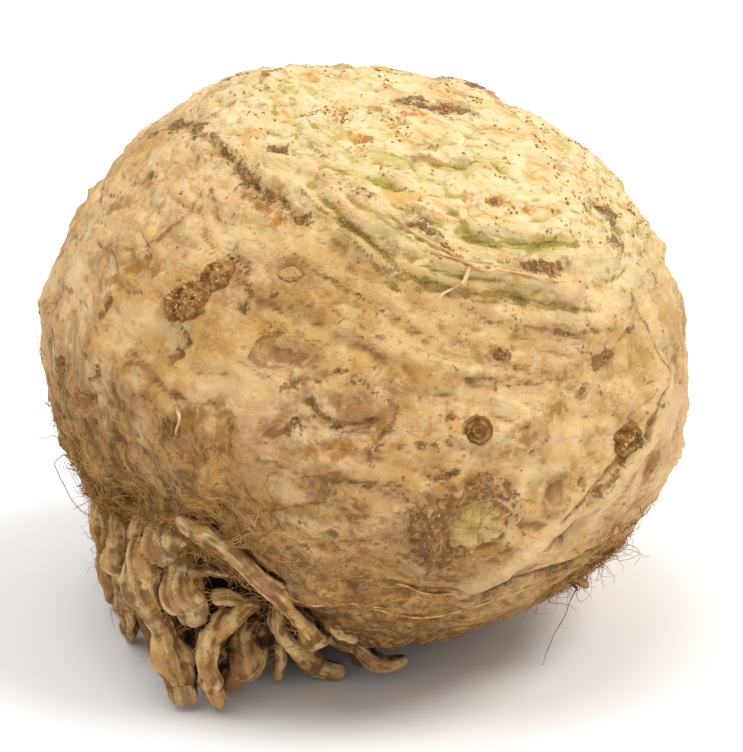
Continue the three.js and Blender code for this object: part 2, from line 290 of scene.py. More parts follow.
# Smooth pale places, as the stains above.
CLEAN_MARKS = [
    ((-46, 20), 8.0, 4.0, 20, 0.8), ((-24, 14), 9.0, 3.0, -8, 0.8), ((-34, 38), 9.0, 4.0, -20, 0.6),
    ((-6, 24), 10.0, 2.4, -12, 0.6), ((14, 13), 8.0, 3.0, 0, 0.5), ((30, 12), 7.0, 3.0, 0, 0.6),
    ((41, 5), 4.0, 5.0, 0, 0.7), ((46, -12), 6.0, 3.0, 45, 0.9), ((62, 14), 5.0, 9.0, 0, 0.7),
    ((8, 4), 3.0, 5.0, 0, 0.6), ((-62, 20), 4.0, 6.0, 0, 0.6), ((-76, 30), 5.0, 10.0, 0, 0.6),
    ((-20, 34), 6.0, 2.6, -20, 0.6), ((34, -1), 5.0, 3.0, 40, 0.6), ((66, -4), 6.0, 5.0, 60, 0.6),
]

# Oval marks: place, half length and half width in mm, turn in degrees and strength.
CORK_MARKS = [
    ((-33, 50), 4.0, 1.3, -32, 0.7), ((-24, 47), 3.0, 1.1, -30, 0.65), ((-16, 44), 3.0, 1.2, -30, 0.6),
    ((-82, 54), 3.5, 1.3, 15, 0.9), ((-68, 56), 3.0, 1.3, -20, 0.8), ((-29, 58), 2.4, 1.4, -20, 0.8),
    ((55, 74), 4.5, 1.7, -18, 0.75), ((63, 69), 4.2, 1.7, -28, 0.85), ((46, 78), 3.0, 1.5, -10, 0.6),
    ((38, 32), 3.6, 1.3, -12, 1.0), ((46, 14), 3.2, 1.3, 8, 1.0), ((24, 19), 2.0, 1.1, -20, 0.7),
    ((65, 36), 2.2, 1.6, -30, 0.7), ((62, 31), 2.0, 1.8, 0, 0.6), ((14, 42), 2.2, 0.8, -50, 0.8),
    ((-1, 50), 2.6, 1.5, -20, 0.5), ((35, 46), 1.6, 0.8, -20, 0.8), ((15, 9), 1.3, 0.7, -40, 0.8),
    ((10, 6), 2.6, 0.6, -3, 0.8), ((13, 0), 2.6, 0.8, 8, 0.9), ((19, -1), 2.4, 0.9, -8, 0.9),
    ((9, -9), 3.2, 1.8, 80, 1.0), ((11, -15), 3.2, 2.0, -50, 0.9), ((24, -4), 2.0, 1.2, -60, 0.7),
    ((1, -1), 1.4, 0.5, 0, 0.8), ((35, -15), 2.8, 1.4, 30, 0.8), ((33, -25), 5.0, 1.0, 4, 0.8),
    ((-54, 21), 2.6, 1.0, 80, 0.8), ((-66, 7), 3.0, 1.3, 80, 1.0), ((-52, 10), 1.6, 0.9, 70, 0.6),
    ((-65, 44), 2.6, 1.8, 10, 0.45), ((-42, 2), 1.0, 0.8, 0, 0.7), ((-47, 0), 1.6, 1.0, -40, 0.7),
    ((-12, 8), 3.4, 0.8, 20, 0.5), ((55, 17), 1.4, 0.9, 0, 0.7), ((64, 8), 2.0, 1.2, 80, 0.45),
    ((-17, 30), 1.0, 0.6, -20, 0.8), ((-9, 31), 1.2, 0.6, 10, 0.4), ((28, 22), 1.0, 0.7, 0, 0.5),
]
RUST_MARKS = [
    ((28, 48), 2.6, 1.1, -20, 0.9), ((36, 46), 3.4, 1.3, -18, 1.0), ((43, 43), 2.6, 1.2, -18, 0.9),
    ((-3, 65), 2.4, 1.2, -30, 0.9), ((6, 60), 3.5, 1.6, -25, 0.6), ((30, 71), 4.5, 1.8, -20, 0.8),
    ((8, 72), 3.0, 1.4, -15, 0.5), ((52, 62), 4.0, 1.6, -25, 0.6), ((66, 55), 3.0, 1.5, -30, 0.6),
    ((2, 49), 3.4, 1.8, -25, 0.55), ((-21, 44), 3.0, 1.5, -30, 0.7), ((-8, 29), 3.4, 1.3, -10, 0.7),
    ((-1, 26), 3.0, 1.2, -20, 0.4), ((-6, -7), 2.6, 0.6, 0, 0.9), ((1, -17), 2.4, 0.7, 0, 0.8),
    ((37, 9), 1.8, 1.0, 30, 0.5), ((12, 46), 2.6, 1.3, -25, 0.5), ((-70, 33), 2.2, 1.2, 60, 0.4),
]
OCHRE_MARKS = [
    ((-45, 12), 3.0, 1.0, 35, 1.0), ((-40, 14), 2.2, 0.9, -10, 0.9), ((-52, 27), 4.5, 2.2, 30, 0.9),
    ((-47, 31), 3.2, 1.6, 10, 0.7), ((-36, 43), 2.6, 1.2, 10, 0.9), ((-28, 46), 3.0, 1.0, -20, 0.8),
    ((-70, 36), 4.0, 2.0, 30, 0.5), ((-65, 44), 4.0, 2.4, 10, 0.5), ((-78, 44), 4.0, 2.0, 10, 0.4),
    ((23, 57), 4.2, 1.0, -25, 0.8), ((0, 64), 3.0, 0.9, -8, 0.8), ((-110, 63), 2.0, 1.0, 10, 0.8),
    ((-72, 64), 2.4, 1.4, -10, 0.6), ((-98, 72), 2.4, 0.9, 0, 0.9), ((34, 9), 3.0, 1.8, 30, 0.5),
    ((24, 3), 1.8, 1.4, 0, 0.8), ((30, 0), 1.2, 1.8, 0, 0.5), ((-5, 5), 4.2, 1.8, 10, 1.0),
    ((-12, -6), 4.0, 1.4, -10, 0.8), ((2, 8), 1.4, 2.0, 0, 0.6), ((-30, 7), 1.8, 3.6, 0, 0.9),
    ((-24, 5), 2.4, 5.0, 0, 1.0), ((-30, -1), 2.0, 3.0, 0, 0.8), ((-3, 12), 2.0, 1.2, 0, 0.5),
    ((8, -3), 1.0, 2.0, 20, 0.7), ((27, -13), 3.5, 1.2, 30, 0.4), ((-17, 22), 2.4, 0.5, 8, 0.8),
    ((21, 10), 1.4, 1.0, 0, 0.5), ((26, 15), 2.4, 0.8, -8, 0.7), ((24, 19), 2.4, 1.4, -20, 0.6),
    ((-38, 35), 3.0, 2.4, 0, 0.4), ((0, 33), 3.0, 1.0, -20, 0.5),
]
GREEN_MARKS = [
    ((38, 36), 9.0, 1.5, -10, 1.0), ((26, 41), 3.0, 1.2, -40, 0.7), ((14, 33), 8.0, 1.8, -12, 0.8),
    ((30, 29), 8.0, 1.5, -8, 0.8), ((-31, 54), 6.0, 3.0, -25, 0.6), ((-10, 47), 6.0, 1.5, -30, 0.5),
    ((3, 53), 8.0, 1.2, -12, 0.7), ((21, 52), 6.0, 1.2, -25, 0.7), ((50, 30), 6.0, 1.6, -10, 0.6),
    ((56, 22), 6.0, 2.0, 0, 0.5), ((10, 22), 7.0, 3.0, -20, 0.5), ((26, 24), 8.0, 2.0, -8, 0.5),
    ((28, 20), 9.0, 2.0, -14, 0.6), ((19, -10), 5.0, 4.0, 0, 0.4), ((-50, 27), 6.0, 3.0, 0, 0.3),
    ((-3, 12), 3.0, 2.0, 0, 0.3), ((44, 52), 4.0, 1.2, -15, 0.7), ((30, 60), 4.0, 1.0, -20, 0.5),
    ((70, 30), 6.0, 1.8, 10, 0.5),
]
# Old scars where a leaf or a fine root left the skin: place, half length, half width, turn and strength.
RING_MARKS = [
    ((-42, 8), 1.9, 1.9, 0, 0.8), ((28, 5), 3.0, 2.6, 0, 0.7), ((33, -6), 3.6, 2.4, 65, 1.0),
    ((59, -9), 3.0, 1.9, 65, 1.0), ((40, 10), 1.5, 1.2, 20, 0.9), ((39, 14), 1.8, 1.4, 0, 0.5),
    ((37, 21), 1.3, 1.0, 0, 0.8), ((-14, 20), 5.4, 2.4, 4, 1.0), ((-15, 33.5), 3.6, 2.8, 0, 0.9),
    ((-15, 7), 3.6, 1.8, 18, 0.8), ((-3, 12), 4.0, 2.8, 10, 0.5), ((24, 19), 2.2, 1.4, -20, 0.6),
    ((63, -19), 3.0, 1.4, 50, 0.6), ((49, -9), 0.9, 0.8, 0, 0.8), ((38, -5), 0.6, 0.8, 0, 1.0),
    ((-56, 15), 1.4, 1.6, 0, 0.5),
]
# Raised corky knobs: place, half length, half width, turn, height in mm and how many growth rings show.
KNOBS = [
    ((-34.5, 26), 4.9, 4.0, 35, 2.4, 1.0), ((-30, 31.5), 3.5, 2.8, 70, 2.0, 1.0),
    ((19, 7), 3.0, 2.9, 0, 0.45, 3.0), ((48, 0), 3.5, 2.7, 45, 1.3, 1.5),
    ((-34, 5), 1.9, 2.2, 0, 0.6, 2.0), ((-15, 33.5), 2.1, 1.6, 0, 0.7, 0.0),
    ((118, 8), 3.3, 2.8, 20, 1.0, 2.5), ((147, -2), 2.6, 2.2, 0, 0.6, 3.0),
    ((-158, 12), 3.8, 3.0, 30, 1.2, 1.5), ((-120, 4), 2.8, 2.4, 60, 0.9, 2.0),
    ((172, 30), 2.4, 2.0, 0, 0.6, 2.0), ((-96, -4), 2.2, 1.9, 0, 0.7, 1.0),
    ((92, -8), 2.6, 2.2, 40, 0.8, 2.0), ((-178, -12), 3.2, 2.6, 0, 1.0, 1.5),
    ((134, 40), 2.2, 1.6, -20, 0.6, 1.0),
]
CUT_FACE = ((19, -10), 6.4, 5.5)  # the stub of a cut root: its place, half length and half width in mm
HIDDEN_SIDE = toward(180, -10)  # the side that random marks are strewn over
POCKED_SIDE = toward(-60, 8)  # the side that small scars crowd on


def strewn_marks(count, seed, length, width, lowest=-40, highest=80, side=HIDDEN_SIDE, nearness=-0.12):
    """Random oval marks on one side. The nearness is the cosine of how far they reach round it."""
    draw = np.random.default_rng(seed)
    marks = []
    while len(marks) < count:
        place = (draw.uniform(-180, 180), math.degrees(math.asin(draw.uniform(-1, 1))))
        turn, strength = draw.uniform(-35, 35), draw.uniform(0.5, 1.0)
        half_length, half_width = draw.uniform(*length), draw.uniform(*width)
        if toward(*place) @ side > nearness and lowest < place[1] < highest:
            marks.append((place, half_length, half_width, turn, strength))
    return marks


def marked(directions, marks, edge=0.75):
    """How strongly each point is covered by oval marks."""
    cover = np.zeros(len(directions))
    for place, half_length, half_width, turn, strength in marks:
        far = distance_to_mark(directions, place, half_length, half_width, turn)
        cover = np.maximum(cover, strength * np.exp(-edge * far ** 2))
    return cover


# ---- The bulb --------------------------------------------------------------------------------------------

def ball_of_squares(cells):
    """Directions and squares of an even net over a ball: the six faces of a cube, blown up."""
    across = np.tan(np.linspace(-math.pi / 4, math.pi / 4, cells + 1))
    a, b = (grid.ravel() for grid in np.meshgrid(across, across, indexing="ij"))
    one = np.ones_like(a)
    faces = [(one, a, b), (-one, b, a), (b, one, a), (a, -one, b), (a, b, one), (b, a, -one)]
    corners = np.vstack([np.stack(face, axis=1) for face in faces])
    start = np.arange(cells * (cells + 1)).reshape(cells, cells + 1)[:, :-1].ravel()
    square = np.stack([start, start + cells + 1, start + cells + 2, start + 1], axis=1)
    squares = np.vstack([square + face * (cells + 1) ** 2 for face in range(6)])
    kept, renamed = np.unique(np.round(corners, 6), axis=0, return_inverse=True)
    return unit(kept), renamed.ravel()[squares]


def neighbour_pairs(squares):
    """The two points of each edge of a net."""
    pairs = np.vstack([squares[:, [k, (k + 1) % 4]] for k in range(4)])
    return np.unique(np.sort(pairs, axis=1), axis=0)


def evened(values, pairs, rounds):
    """Each value replaced again and again by the mean of its neighbours' and its own."""
    count = np.bincount(pairs.ravel(), minlength=len(values))
    for _ in range(rounds):
        total = np.bincount(pairs[:, 0], values[pairs[:, 1]], len(values))
        total += np.bincount(pairs[:, 1], values[pairs[:, 0]], len(values))
        values = (values + total / count) / 2
    return values


def surface_tree(piece):
    """A piece's surface, for casting rays onto it."""
    mesh = piece.data
    return BVHTree.FromPolygons([v.co for v in mesh.vertices], [p.vertices for p in mesh.polygons])


def cast(tree, directions):
    """How far each direction from the bulb's middle runs until it meets the surface."""
    middle = Vector(BULB_MIDDLE)
    return np.array([tree.ray_cast(middle, Vector(d))[3] for d in directions])


def skin_zones(directions):
    """How strongly the crown's pale skin, the brown earthy skin and the matted root zone show. The earthy
    and matted zones reach far over the lower side, where their dark brown is partly painted shade.
    """
    ragged = layered(directions * SKIN_RADIUS, 16, SEED) * 7
    from_crown = np.degrees(np.arccos(np.clip(directions @ toward(*CROWN), -1, 1))) + ragged
    from_roots = np.degrees(np.arccos(np.clip(directions @ toward(*ROOT_SIDE), -1, 1))) + ragged
    crown = step(from_crown, 66, 36)
    earthy = step(from_roots, 84, 54)
    matted = step(from_roots, 60, 34)
    return crown, earthy, matted


def skin_relief(directions, zones):
    """Height of the skin's detail in mm."""
    crown, earthy, matted = zones
    at = directions * SKIN_RADIUS
    wavy = wandering(directions, 3.5, 13, SEED + 20)
    rings = along_axis(wavy, CROWN, 4)
    sweep = along_axis(wavy, SWEEP, 3)
    folds = np.abs(layered(rings, 17, SEED + 30)) * 2.6 - 0.8
    fine_folds = np.abs(layered(rings, 7, SEED + 36, 2)) * 0.9 - 0.25
    fibres = (0.6 - 2 * np.abs(layered(sweep, 15, SEED + 40))) * 0.9
    height = folds * (0.58 + 0.45 * crown) * (1 - earthy)
    height += fine_folds * (0.25 + 0.85 * crown) + fibres * earthy
    height += layered(wavy * SKIN_RADIUS, 12, SEED + 50) * (1.3 + 0.9 * earthy)
    height += layered(at, 4.5, SEED + 60, 3) * (0.3 + 0.5 * earthy + 0.4 * matted + 0.2 * crown)
    for places, half_width, tall in RIDGES + FURROWS:
        gap = distance_to_line(wandering(directions, 1.2, 7, 3), places)
        height += 1.4 * tall * np.exp(-(gap / half_width) ** 2)
    return height


def creases(directions):
    """How near each point is to the bottom of a furrow or the foot of a ridge."""
    crease = np.zeros(len(directions))
    wavy = wandering(directions, 0.9, 5, 3)
    for places, half_width, depth in FURROWS:
        gap = distance_to_line(wavy, places) / (0.6 * half_width)
        crease = np.maximum(crease, min(1.0, -depth / 0.6) * np.exp(-gap ** 2))
    for places in CREASES:
        crease = np.maximum(crease, 0.8 * np.exp(-(distance_to_line(wavy, places) / 0.6) ** 2))
    return crease


def scar_relief(directions, cork, ring, ring_strength):
    """Height in mm of cork patches, which are cracked and lie in a dip, and of ring scars."""
    at = directions * SKIN_RADIUS
    cracked = layered(at, 2.8, SEED + 70, 2)
    height = cork * (cracked * 1.1 - 0.3)
    rim = np.exp(-((ring - 1) / 0.3) ** 2) * 0.55
    dish = step(ring, 1.0, 0.6) * -0.35
    return height + (rim + dish) * ring_strength


def ring_scars(directions):
    """Distance to the nearest ring scar, as a share of its size, and how strong that scar is."""
    marks = RING_MARKS + strewn_marks(16, SEED + 5, (1.2, 3.2), (1.0, 2.2))
    marks += strewn_marks(26, SEED + 8, (0.8, 1.8), (0.8, 1.6), side=POCKED_SIDE, nearness=0.9)
    nearest, strength = np.full(len(directions), 3.0), np.zeros(len(directions))
    for place, half_length, half_width, turn, strong in marks:
        far = distance_to_mark(directions, place, half_length, half_width, turn)
        closer = far < nearest
        nearest[closer] = far[closer]
        strength = np.maximum(strength, strong * step(far, 2.2, 1.3))
    return nearest, strength


def cut_root_rim(directions):
    """How strongly the corky rim of the cut root shows, broad on the left, and the dip inside it."""
    place, half_length, half_width = CUT_FACE
    far = distance_to_mark(directions, place, half_length, half_width, 0)
    _, right, up = tangents(place)
    left = step((directions - toward(*place)) @ (0.8 * right - 0.6 * up) * SKIN_RADIUS, 5.0, -5.0)
    rim = np.exp(-((far - 1.08 - 0.14 * left) / (0.1 + 0.2 * left)) ** 2) * (0.35 + 0.65 * left)
    return rim, step(far, 1.1, 0.85)


def bulb_skin():
    """The bulb's mesh, with its relief, and its marks as layers for the finish."""
    directions, squares = ball_of_squares(SKIN_CELLS)
    pairs = neighbour_pairs(squares)
    distance = evened(cast(surface_tree(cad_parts["bulb"]), directions), pairs, EVENING_ROUNDS)
    zones = skin_zones(directions)
    ragged = wandering(wandering(directions, 1.1, 4.5, SEED + 80), 0.5, 1.8, SEED + 84)
    cork = marked(ragged, CORK_MARKS + strewn_marks(34, SEED + 1, (1.2, 4.0), (0.7, 1.8)))
    for places, half_width, strength in CRACKS:
        cork = np.maximum(cork, strength * np.exp(-(distance_to_line(ragged, places) / half_width) ** 2))
    ring, ring_strength = ring_scars(wandering(directions, 0.5, 3.5, SEED + 88))
    relief = skin_relief(directions, zones) + scar_relief(directions, cork, ring, ring_strength)
    rim, cut = cut_root_rim(ragged)
    relief += rim * 1.3 - cut * 1.0
    cork = np.maximum(cork, rim)
    near_foot = step(distance * -directions[:, 2], 0.052, 0.0555)
    points = BULB_MIDDLE + directions * (distance + relief * MM * (1 - near_foot))[:, None]
    points[:, 2] = np.maximum(points[:, 2], 0)
    layers = {
        # How far each point lies below the skin round it, broadly and in small pits: the finish paints
        # shade there.
        "hollow": evened(relief, pairs, 12) - relief, "pit": evened(relief, pairs, 3) - relief,
        "crease": creases(directions),
        "stain": marked(ragged, STAIN_MARKS + strewn_marks(26, SEED + 6, (3.0, 8.0), (2.0, 4.0), -60)),
        # Pale patches, the skin's own colour, and a pale band along the right fold, which is a painted
        # highlight on that ridge.
        "pale_and_ridge_highlight": np.maximum(
            marked(ragged, CLEAN_MARKS + strewn_marks(16, SEED + 9, (5.0, 10.0), (2.5, 5.0), -30)),
            0.9 * np.exp(-(distance_to_line(directions, RIGHT_FOLD) / 4.5) ** 2)),
        "crown": zones[0], "earthy": zones[1], "matted": zones[2], "cork": cork, "ring": ring,
        "ring_strength": ring_strength,
        "rust": marked(ragged, RUST_MARKS + strewn_marks(26, SEED + 2, (1.2, 3.6), (0.7, 1.6), 10)),
        "ochre": marked(ragged, OCHRE_MARKS + strewn_marks(30, SEED + 3, (1.5, 4.5), (0.8, 2.4))),
        "green": marked(ragged, GREEN_MARKS + strewn_marks(22, SEED + 4, (3.0, 9.0), (1.0, 2.4), 15)),
    }
    return mesh_piece("bulb_skin", points, squares, layers)


# ---- Making meshes ---------------------------------------------------------------------------------------

def mesh_piece(name, points, faces, layers=None):
    """A smooth-shaded mesh object. Layers are named numbers, or rows of three, one for each point."""
    mesh = bpy.data.meshes.new(name)
    mesh.from_pydata(np.asarray(points, float).tolist(), [], [tuple(face) for face in faces])
    mesh.shade_smooth()
    for layer, values in (layers or {}).items():
        values = np.asarray(values, np.float32)
        if values.ndim == 1:
            mesh.attributes.new(layer, "FLOAT", "POINT").data.foreach_set("value", values)
        else:
            mesh.attributes.new(layer, "FLOAT_VECTOR", "POINT").data.foreach_set("vector", values.ravel())
    piece = bpy.data.objects.new(name, mesh)
    bpy.context.scene.collection.objects.link(piece)
    return piece


def belongs(piece, finish, slot, *nodes):
    """Gives a finished piece its material and its body, and hides the CAD nodes that it stands for."""
    piece.data.materials.clear()
    piece.data.materials.append(finish)
    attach(piece, "root")
    if nodes:
        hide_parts(*nodes)
    return piece


# ---- Finishes --------------------------------------------------------------------------------------------

def colour(code):
    """A colour from its usual six-digit code, as linear light."""
    parts = [(code >> shift & 255) / 255 for shift in (16, 8, 0)]
    return (*[c / 12.92 if c <= 0.04045 else ((c + 0.055) / 1.055) ** 2.4 for c in parts], 1.0)


CREAM = colour(0xDFB87E)
TAN = colour(0xC79852)
BLUSH = colour(0xC08C60)
PALE = colour(0xF0DAAA)
PALE_YELLOW = colour(0xEACF98)
PALE_GREEN = colour(0xC3B455)
OLIVE = colour(0xA69646)
GREY_GREEN = colour(0xAE9A5F)
OCHRE = colour(0x9A6A1F)
RUST = colour(0xB67729)
ORANGE = colour(0xDDA654)
CORK_DARK = colour(0x7A4F20)
CORK_MID = colour(0xA5743C)
CORK_LIGHT = colour(0xCDA566)
# Dark brown of earth, also laid on as painted shade on the lower side, near the bulb and over the fine
# roots.
DARK_EARTH_AND_SHADE = colour(0x6A4117)
EARTH_LIGHT = colour(0xBD8B43)
STAIN = colour(0x9C6F39)
MAUVE = colour(0xAA8B7A)
CREASE_BROWN = colour(0x8A5E2A)
# Painted shade for the deep gaps between the roots and the bulb.
PAINTED_GAP_SHADE = colour(0x3B2413)


class Finish:
    """Builds one material's nodes."""

    def __init__(self, name):
        self.material = bpy.data.materials.new(name)
        self.material.use_nodes = True
        self.tree = self.material.node_tree
        self.shader = self.tree.nodes["Principled BSDF"]
        self.object_place = self.add("ShaderNodeTexCoord").outputs["Object"]

    def add(self, kind, settings=None, inputs=None):
        made = self.tree.nodes.new(kind)
        for name, value in (settings or {}).items():
            setattr(made, name, value)
        for name, value in (inputs or {}).items():
            self.feed(made.inputs[name], value)
        return made

    def feed(self, socket, value):
        if isinstance(value, bpy.types.NodeSocket):
            self.tree.links.new(value, socket)
        else:
            socket.default_value = value

    def layer(self, name, output="Fac"):
        return self.add("ShaderNodeAttribute", {"attribute_name": name}).outputs[output]

    def rings_round(self, place, stretch):
        """Object coordinates stretched along a place's axis, so that noise runs in rings round it."""
        turn = Vector((0, 0, 1)).rotation_difference(Vector(toward(*place))).to_euler()
        return self.add("ShaderNodeMapping", {"vector_type": "TEXTURE"}, {
            "Vector": self.object_place, "Location": Vector(BULB_MIDDLE), "Rotation": turn,
            "Scale": (1, 1, 1 / stretch)}).outputs[0]

    def shifted(self, place, shift):
        moved = self.add("ShaderNodeVectorMath", {"operation": "ADD"}, {0: place, 1: (shift,) * 3})
        return moved.outputs[0]

    def noise(self, size, detail=3.0, rough=0.55, at=None, twist=0.0, shift=0.0):
        """Random hills from 0 to 1, as wide as size in mm."""
        at = self.shifted(at or self.object_place, shift)
        return self.add("ShaderNodeTexNoise", None, {
            "Vector": at, "Scale": 1000 / size, "Detail": detail,
            "Roughness": rough, "Distortion": twist}).outputs[0]

    def spots(self, size, shift=0.0):
        """Distance from the nearest of randomly strewn points, in steps of size in mm."""
        cells = {"Vector": self.shifted(self.object_place, shift), "Scale": 1000 / size}
        return self.add("ShaderNodeTexVoronoi", None, cells).outputs["Distance"]

    def maths(self, operation, first, second=0.0, third=0.0):
        made = self.add("ShaderNodeMath", {"operation": operation}, {0: first, 1: second, 2: third})
        return made.outputs[0]

    def times(self, *values):
        total = values[0]
        for value in values[1:]:
            total = self.maths("MULTIPLY", total, value)
        return total

    def step(self, value, low, high, least=0.0, most=1.0):
        """A smooth slope from least, where the value is low, to most, where it is high."""
        return self.add("ShaderNodeMapRange", {"interpolation_type": "SMOOTHSTEP"}, {
            0: value, 1: low, 2: high, 3: least, 4: most}).outputs[0]

    def mix(self, share, first, second):
        """The first colour, with a share of the second laid over it."""
        return self.add("ShaderNodeMix", {"data_type": "RGBA"}, {0: share, 6: first, 7: second}).outputs[2]

    def ragged(self, layer, grain, reach, low, high):
        """A layer whose edge is broken up by a grain, from 0 outside it to 1 inside."""
        torn = self.maths("MULTIPLY_ADD", self.maths("SUBTRACT", grain, 0.5), reach, layer)
        return self.step(torn, low, high)

    def bump(self, height, depth, below=None):
        """Relief of the given depth in mm for a height from 0 to 1, on top of the relief below it."""
        made = self.add("ShaderNodeBump", None, {"Height": height, "Distance": depth * MM})
        if below:
            self.feed(made.inputs["Normal"], below)
        return made.outputs[0]

    def done(self, tint, roughness, normal, gloss=0.35):
        self.feed(self.shader.inputs["Base Color"], tint)
        self.feed(self.shader.inputs["Roughness"], roughness)
        self.feed(self.shader.inputs["Normal"], normal)
        self.shader.inputs["Specular IOR Level"].default_value = gloss
        return self.material


def cork_colour(f, size=1.0):
    """Brown cork with dark cracks and pale crumbs."""
    crumbs = f.noise(size, 5, 0.65)
    tint = f.mix(f.step(crumbs, 0.34, 0.47), CORK_DARK, CORK_MID)
    return f.mix(f.step(crumbs, 0.48, 0.64), tint, CORK_LIGHT)


def clean_skin(f, crown, growth, streak, mottle):
    """The bulb's own colour: cream to tan, pale yellow with green furrows on the crown."""
    fine_streak = f.noise(5, 4, 0.6, growth, 0.3, 0.3)
    busy = f.step(f.noise(15, 3, shift=8.8), 0.42, 0.6, 0.12, 1.0)
    tint = f.mix(f.step(f.noise(22, 4), 0.4, 0.6), CREAM, TAN)
    tint = f.mix(f.step(f.noise(12, 5, 0.6, shift=0.7), 0.5, 0.62, 0, 0.6), tint, BLUSH)
    tint = f.mix(f.step(f.noise(14, 3, 0.5, growth, shift=1.7), 0.52, 0.64, 0, 0.45), tint, GREY_GREEN)
    tint = f.mix(f.times(busy, f.step(streak, 0.5, 0.64, 0, 0.7)), tint, TAN)
    tint = f.mix(f.times(busy, f.step(f.noise(2.6, 5, 0.7, shift=5.3), 0.47, 0.62, 0, 0.6)), tint, STAIN)
    tint = f.mix(f.step(f.noise(5, 4, 0.6, shift=6.1), 0.54, 0.38, 0, 0.3), tint, PALE)
    pale = f.mix(f.step(fine_streak, 0.54, 0.44), PALE_YELLOW, PALE)
    pale = f.mix(f.step(f.noise(9, 5, 0.6, growth, 0.5, 2.7), 0.54, 0.66, 0, 0.75), pale, PALE_GREEN)
    pale = f.mix(f.step(f.noise(8, 5, 0.65, growth, 0.4, 4.1), 0.54, 0.66, 0, 0.85), pale, ORANGE)
    pale = f.mix(f.step(f.noise(3.4, 5, 0.7, growth, 0.4, 5.9), 0.56, 0.7, 0, 0.6), pale, OCHRE)
    return f.mix(f.times(crown, f.step(mottle, 0.3, 0.55, 0.7, 1.0)), tint, pale)


def earthy_skin(f, fibre, mottle, grain):
    """The brown skin round the roots, like felt made of light and dark fibres; its dark brown is partly
    painted shade of the bulb's lower side.
    """
    earth = f.mix(f.step(fibre, 0.4, 0.56), DARK_EARTH_AND_SHADE, EARTH_LIGHT)
    earth = f.mix(f.step(f.noise(9, 4, shift=1.3), 0.57, 0.68, 0, 0.45), earth, MAUVE)
    earth = f.mix(f.step(f.noise(6, 5, shift=2.9), 0.55, 0.66, 0, 0.7), earth, OCHRE)
    earth = f.mix(f.step(mottle, 0.54, 0.64, 0, 0.55), earth, CREAM)
    return f.mix(f.step(grain, 0.5, 0.38, 0, 0.8), earth, DARK_EARTH_AND_SHADE)


def marked_skin(f, tint, crown, streak, mottle, grain, patch):
    """First the skin's hollows are darkened as painted shade, brown on the side and pale green on the
    crown; then green, brown, ochre and rust marks on the skin, each ragged at its edge.
    """
    # Painted shade in the skin's hollows.
    tint = f.mix(f.step(f.layer("hollow"), 0.05, 0.5, 0, 0.75), tint, f.mix(crown, STAIN, PALE_GREEN))
    green = f.ragged(f.layer("green"), streak, 1.6, 0.25, 0.9)
    tint = f.mix(f.times(green, 0.7), tint, f.mix(crown, GREY_GREEN, PALE_GREEN))
    stain = f.ragged(f.layer("stain"), patch, 3.2, 0.25, 0.9)
    stain_tint = f.mix(f.step(patch, 0.42, 0.56), BLUSH, STAIN)
    stain_tint = f.mix(f.step(f.noise(9, 3, shift=3.3), 0.52, 0.64, 0, 0.5), stain_tint, MAUVE)
    tint = f.mix(f.times(stain, 0.65), tint, stain_tint)
    ochre = f.ragged(f.layer("ochre"), patch, 2.6, 0.22, 0.75)
    tint = f.mix(f.times(ochre, 0.85), tint, f.mix(f.step(mottle, 0.4, 0.56), TAN, OCHRE))
    rust = f.ragged(f.layer("rust"), patch, 3.2, 0.35, 0.9)
    return f.mix(f.times(rust, 0.9), tint, f.mix(f.step(grain, 0.4, 0.56), ORANGE, RUST))


def creased_skin(f, tint, crown, growth, crease):
    """Thin growth lines, and creases that are brown on the side and olive on the crown. A broad band along
    each crease and the small pits are darkened as painted shade, pale green on the crown.
    """
    wrinkle = f.maths("ABSOLUTE", f.maths("SUBTRACT", f.noise(13, 2, 0.5, growth, 0.8, 6.6), 0.5))
    lines = f.times(f.step(wrinkle, 0.035, 0.0), f.step(f.noise(9, 5, 0.65, shift=9.1), 0.48, 0.64))
    tint = f.mix(f.times(lines, 0.45), tint, f.mix(crown, STAIN, OCHRE))
    # Painted shade in a broad soft band along the creases.
    tint = f.mix(f.times(f.layer("crease"), 0.5), tint, f.mix(crown, STAIN, PALE_GREEN))
    crease_tint = f.mix(crown, CREASE_BROWN, OLIVE)
    tint = f.mix(f.times(crease, f.maths("MULTIPLY_ADD", crown, -0.3, 0.8)), tint, crease_tint)
    # Painted shade in the small pits of the skin.
    return f.mix(f.step(f.layer("pit"), 0.05, 0.24, 0, 0.75), tint, crease_tint)


def scarred_skin(f, tint, mottle, patch):
    """Ring scars, brown on their rim and blotched inside."""
    rim = f.step(f.maths("ABSOLUTE", f.maths("SUBTRACT", f.layer("ring"), 1.0)), 0.4, 0.0)
    inside = f.times(f.step(f.layer("ring"), 1.05, 0.7), f.step(mottle, 0.42, 0.6, 0.25, 0.9))
    scar = f.maths("MAXIMUM", f.times(rim, f.step(patch, 0.4, 0.52)), inside)
    return f.mix(f.times(scar, f.layer("ring_strength"), 0.85), tint, STAIN)


def freckled_skin(f, tint):
    """Two sizes of brown freckles, each where its own patches allow."""
    freckled = f.step(f.noise(7, 3, shift=2.1), 0.55, 0.65)
    freckles = f.times(f.step(f.spots(3.0), 0.2, 0.06), freckled)
    finely_freckled = f.step(f.noise(5, 3, shift=3.4), 0.57, 0.65)
    fine_freckles = f.times(f.step(f.spots(1.5, 0.4), 0.26, 0.1), finely_freckled)
    return f.mix(f.times(f.maths("MAXIMUM", freckles, fine_freckles), 0.5), tint, CORK_MID)


